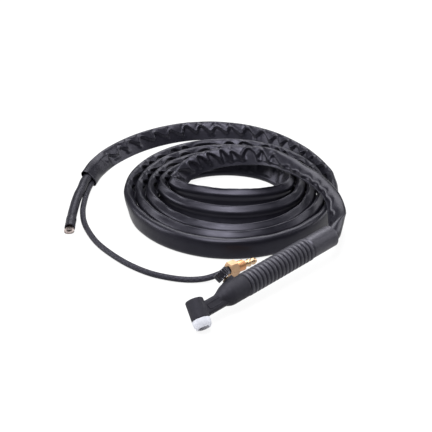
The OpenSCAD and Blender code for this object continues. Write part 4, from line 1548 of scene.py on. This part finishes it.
@dataclass
class Handle:
    """Ribbed grip tube, and the cable and hose inside it."""

    shop: Workshop
    length: float = 161.5
    rib_r: float = 15.5
    groove: float = 2.7
    rib_pitch: float = 6.8
    rib_count: int = 17
    rear_r: float = 14.6
    bore_r: float = 12.3
    rim: float = 1.4
    per_rib: int = 18
    rib_shoulder: float = 0.30
    rear_rings: int = 12
    lip: float = 0.5
    sides: int = 160
    plug_len: float = 13.0
    plug_gap: float = 0.2
    inner_sides: int = 40
    bare_from: float = 10.0
    bare_to: float = 30.0
    hose_from: float = 1.6
    cable_r: float = 5.5
    core_r: float = 4.0
    hose_r: float = 4.0
    hose_bore_r: float = 2.5
    cable_z: float = 4.5
    hose_z: float = -6.0

    def grip(self) -> Piece:
        """Grip tube.

        Formula: within each pitch the radius rises from the groove by the product of two smooth
        steps, one from each side, so every rib has a flat crown and round shoulders.

        Returns:
            The tube.
        """
        ribbed = self.rib_count * self.rib_pitch
        z = np.arange(self.rib_count * self.per_rib) / self.per_rib * self.rib_pitch
        t = (z / self.rib_pitch) % 1.0
        crown = smooth(t / self.rib_shoulder) * smooth((1 - t) / self.rib_shoulder)
        r = self.rib_r - self.groove * (1 - crown) ** 1.1
        r[0] = self.rib_r - self.groove
        arc = np.linspace(0, math.pi / 2, 9)
        plain = [(self.rib_r - self.groove, ribbed), (self.rear_r, ribbed + 0.8)]
        gap = (self.length - self.rim - ribbed) / self.rear_rings
        plain += [(self.rear_r, ribbed + k * gap) for k in range(1, self.rear_rings)]
        rim_r = self.rear_r - self.rim + self.rim * np.cos(arc)
        rim_z = self.length - self.rim + self.rim * np.sin(arc)
        inner_z = self.length - self.lip * (1 - np.cos(arc[::2]))
        inner_r = self.bore_r + self.lip * (1 - np.sin(arc[::2]))
        profile = np.vstack(
            [
                [(self.bore_r, 0.0)],
                np.stack([r, z], axis=1),
                plain,
                np.stack([rim_r, rim_z], axis=1),
                np.stack([inner_r, inner_z], axis=1),
            ]
        )
        piece = turned(profile, self.sides, self.shop.layout.handle()).build("handle_grip")
        return self.shop.settle(piece, Slot.HANDLE, Body.TORCH, "handle")

    def _inside(self, outline: list, up: float, name: str, slot: Slot, node: str) -> Piece:
        """Turned piece that lies along the inside of the grip, beside its axis."""
        place = self.shop.layout.handle(up)
        piece = turned(rounded(outline, 5), self.inner_sides, place).build(name)
        return self.shop.settle(piece, slot, Body.TORCH, node)

    def inner_pieces(self) -> list[Piece]:
        """Power cable, stepped down to its bare core at the front, and gas hose in the grip."""
        end = self.length - self.plug_len - self.plug_gap
        axis, core, full = 0.01, self.core_r, self.cable_r
        bore, hose, start = self.hose_bore_r, self.hose_r, self.hose_from
        cable = [
            (axis, self.bare_from, 0), (core, self.bare_from, 0.2), (core, self.bare_to, 0.1),
            (full, self.bare_to, 0.5), (full, end, 0.3), (axis, end, 0),
        ]
        tube = [(bore, start, 0), (hose, start, 0.4), (hose, end, 0.4), (bore, end, 0)]
        return [
            self._inside(cable, self.cable_z, "inner_cable", Slot.CABLE, "power_cable_lead"),
            self._inside(tube, self.hose_z, "inner_hose", Slot.HOSE, "gas_hose_lead"),
        ]


@dataclass
class GasKnob:
    """Fluted valve knob with a screw in its top."""

    shop: Workshop
    outer_r: float = 10.2
    bottom: float = 20.4
    height: float = 11.3
    flutes: int = 18
    flute_r: float = 1.3
    flute_off: float = 10.6
    cavity_r: float = 7.05
    hub_r: float = 4.3
    hub_bottom: float = 21.4
    bore_r: float = 2.55
    recess_r: float = 2.6
    recess: float = 2.6
    seat_bore_r: float = 1.25
    seat_thick: float = 0.35
    ring_outer: float = 6.4
    ring_inner: float = 3.45
    ring_deep: float = 0.35
    cut_from: float = 8.0
    per_flute: int = 16

    def build(self) -> Piece:
        """Builds the knob.

        Formula: a closed outline is turned about the valve axis, and where it is wider than the
        bottom of the flutes its radius is held inside round cuts, one for every flute.

        Returns:
            The knob.
        """
        r, low, top = self.outer_r, self.bottom, self.bottom + self.height
        mid, seat, ring = low + self.height / 2, top - self.recess, top - self.ring_deep
        under, wide, narrow = seat - self.seat_thick, self.ring_outer, self.ring_inner
        wall = [(r, z, 0.0) for z in np.linspace(low + 2.0, top - 2.2, 10)]
        outline = [
            (self.bore_r, self.hub_bottom, 0), (self.hub_r, self.hub_bottom, 0.3),
            (self.hub_r, mid, 0.4), (self.cavity_r, mid, 0.4), (self.cavity_r, low, 0.3),
            (r - 0.2, low, 0.4), (r, low + 0.9, 0.35), *wall, (r, top - 1.3, 0.6),
            (r - 1.2, top - 0.05, 0.7), (wide + 0.2, top, 0.5), (wide - 0.2, ring, 0.3),
            (narrow + 0.15, ring, 0.4), (narrow - 0.15, top, 0.25), (self.recess_r, top, 0.2),
            (self.recess_r, seat, 0.1), (self.seat_bore_r, seat, 0),
            (self.seat_bore_r, under, 0), (self.bore_r, under, 0),
        ]
        profile = rounded(outline, 6)
        angle = angles(self.flutes * self.per_flute)
        off = (angle * self.flutes + math.pi) % TAU / self.flutes - math.pi / self.flutes
        cut = self.flute_r**2 - (self.flute_off * np.sin(off)) ** 2
        wall_r = np.where(cut > 0, self.flute_off * np.cos(off) - np.sqrt(np.maximum(cut, 0)), 99.0)
        flat_r = profile[:, :1] + 0 * angle
        in_flute = smooth((profile[:, 1:] - low - 1.0) / 0.8)
        held = flat_r + (np.minimum(flat_r, wall_r[None]) - flat_r) * in_flute
        radius = np.where(flat_r > self.cut_from, held, flat_r)
        grid = revolved(radius, profile[:, 1:], angle)
        piece = Surface(grid, self.shop.layout.valve(), wrap_rows=True).build("gas_knob")
        return self.shop.settle(piece, Slot.KNOB, Body.VALVE, "valve_knob")


# ---------------------------------------------------------------- whole object

KEPT_NODES: dict[str, Slot] = {
    "head_core": Slot.COPPER_ALLOY,
    "neck_tube": Slot.COPPER_ALLOY,
    "valve_block": Slot.BRASS,
    "valve_spindle": Slot.BRASS,
    "spindle_oring": Slot.SEAL,
    "knob_screw": Slot.ZINC,
    "power_connector": Slot.COPPER_ALLOY,
    "gas_barb": Slot.BRASS,
    "hose_clip": Slot.ZINC,
}


def main() -> None:
    """Builds the room, the cords and their ends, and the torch."""
    logging.basicConfig(level=logging.INFO, format="%(name)s %(message)s")
    layout = Layout()
    Studio().build(layout)
    shop = Workshop(layout, Finishes())
    handle = Handle(shop)
    sleeve = CableSleeve(shop)
    sleeve.build(handle.inner_pieces())
    ends = CableEnds(shop)
    ends.build()
    CableTails(shop, sleeve, ends).build()
    TorchHead(shop).build()
    handle.grip()
    GasKnob(shop).build()
    for node, slot in KEPT_NODES.items():
        shop.finishes.dress_node(node, shop.finishes.by_slot[slot])
    # the gland under the knob takes the brass darkened with painted shade
    shop.finishes.dress_node("valve_gland", shop.finishes.shaded_gland_brass)


if __name__ == "__main__":
    main()
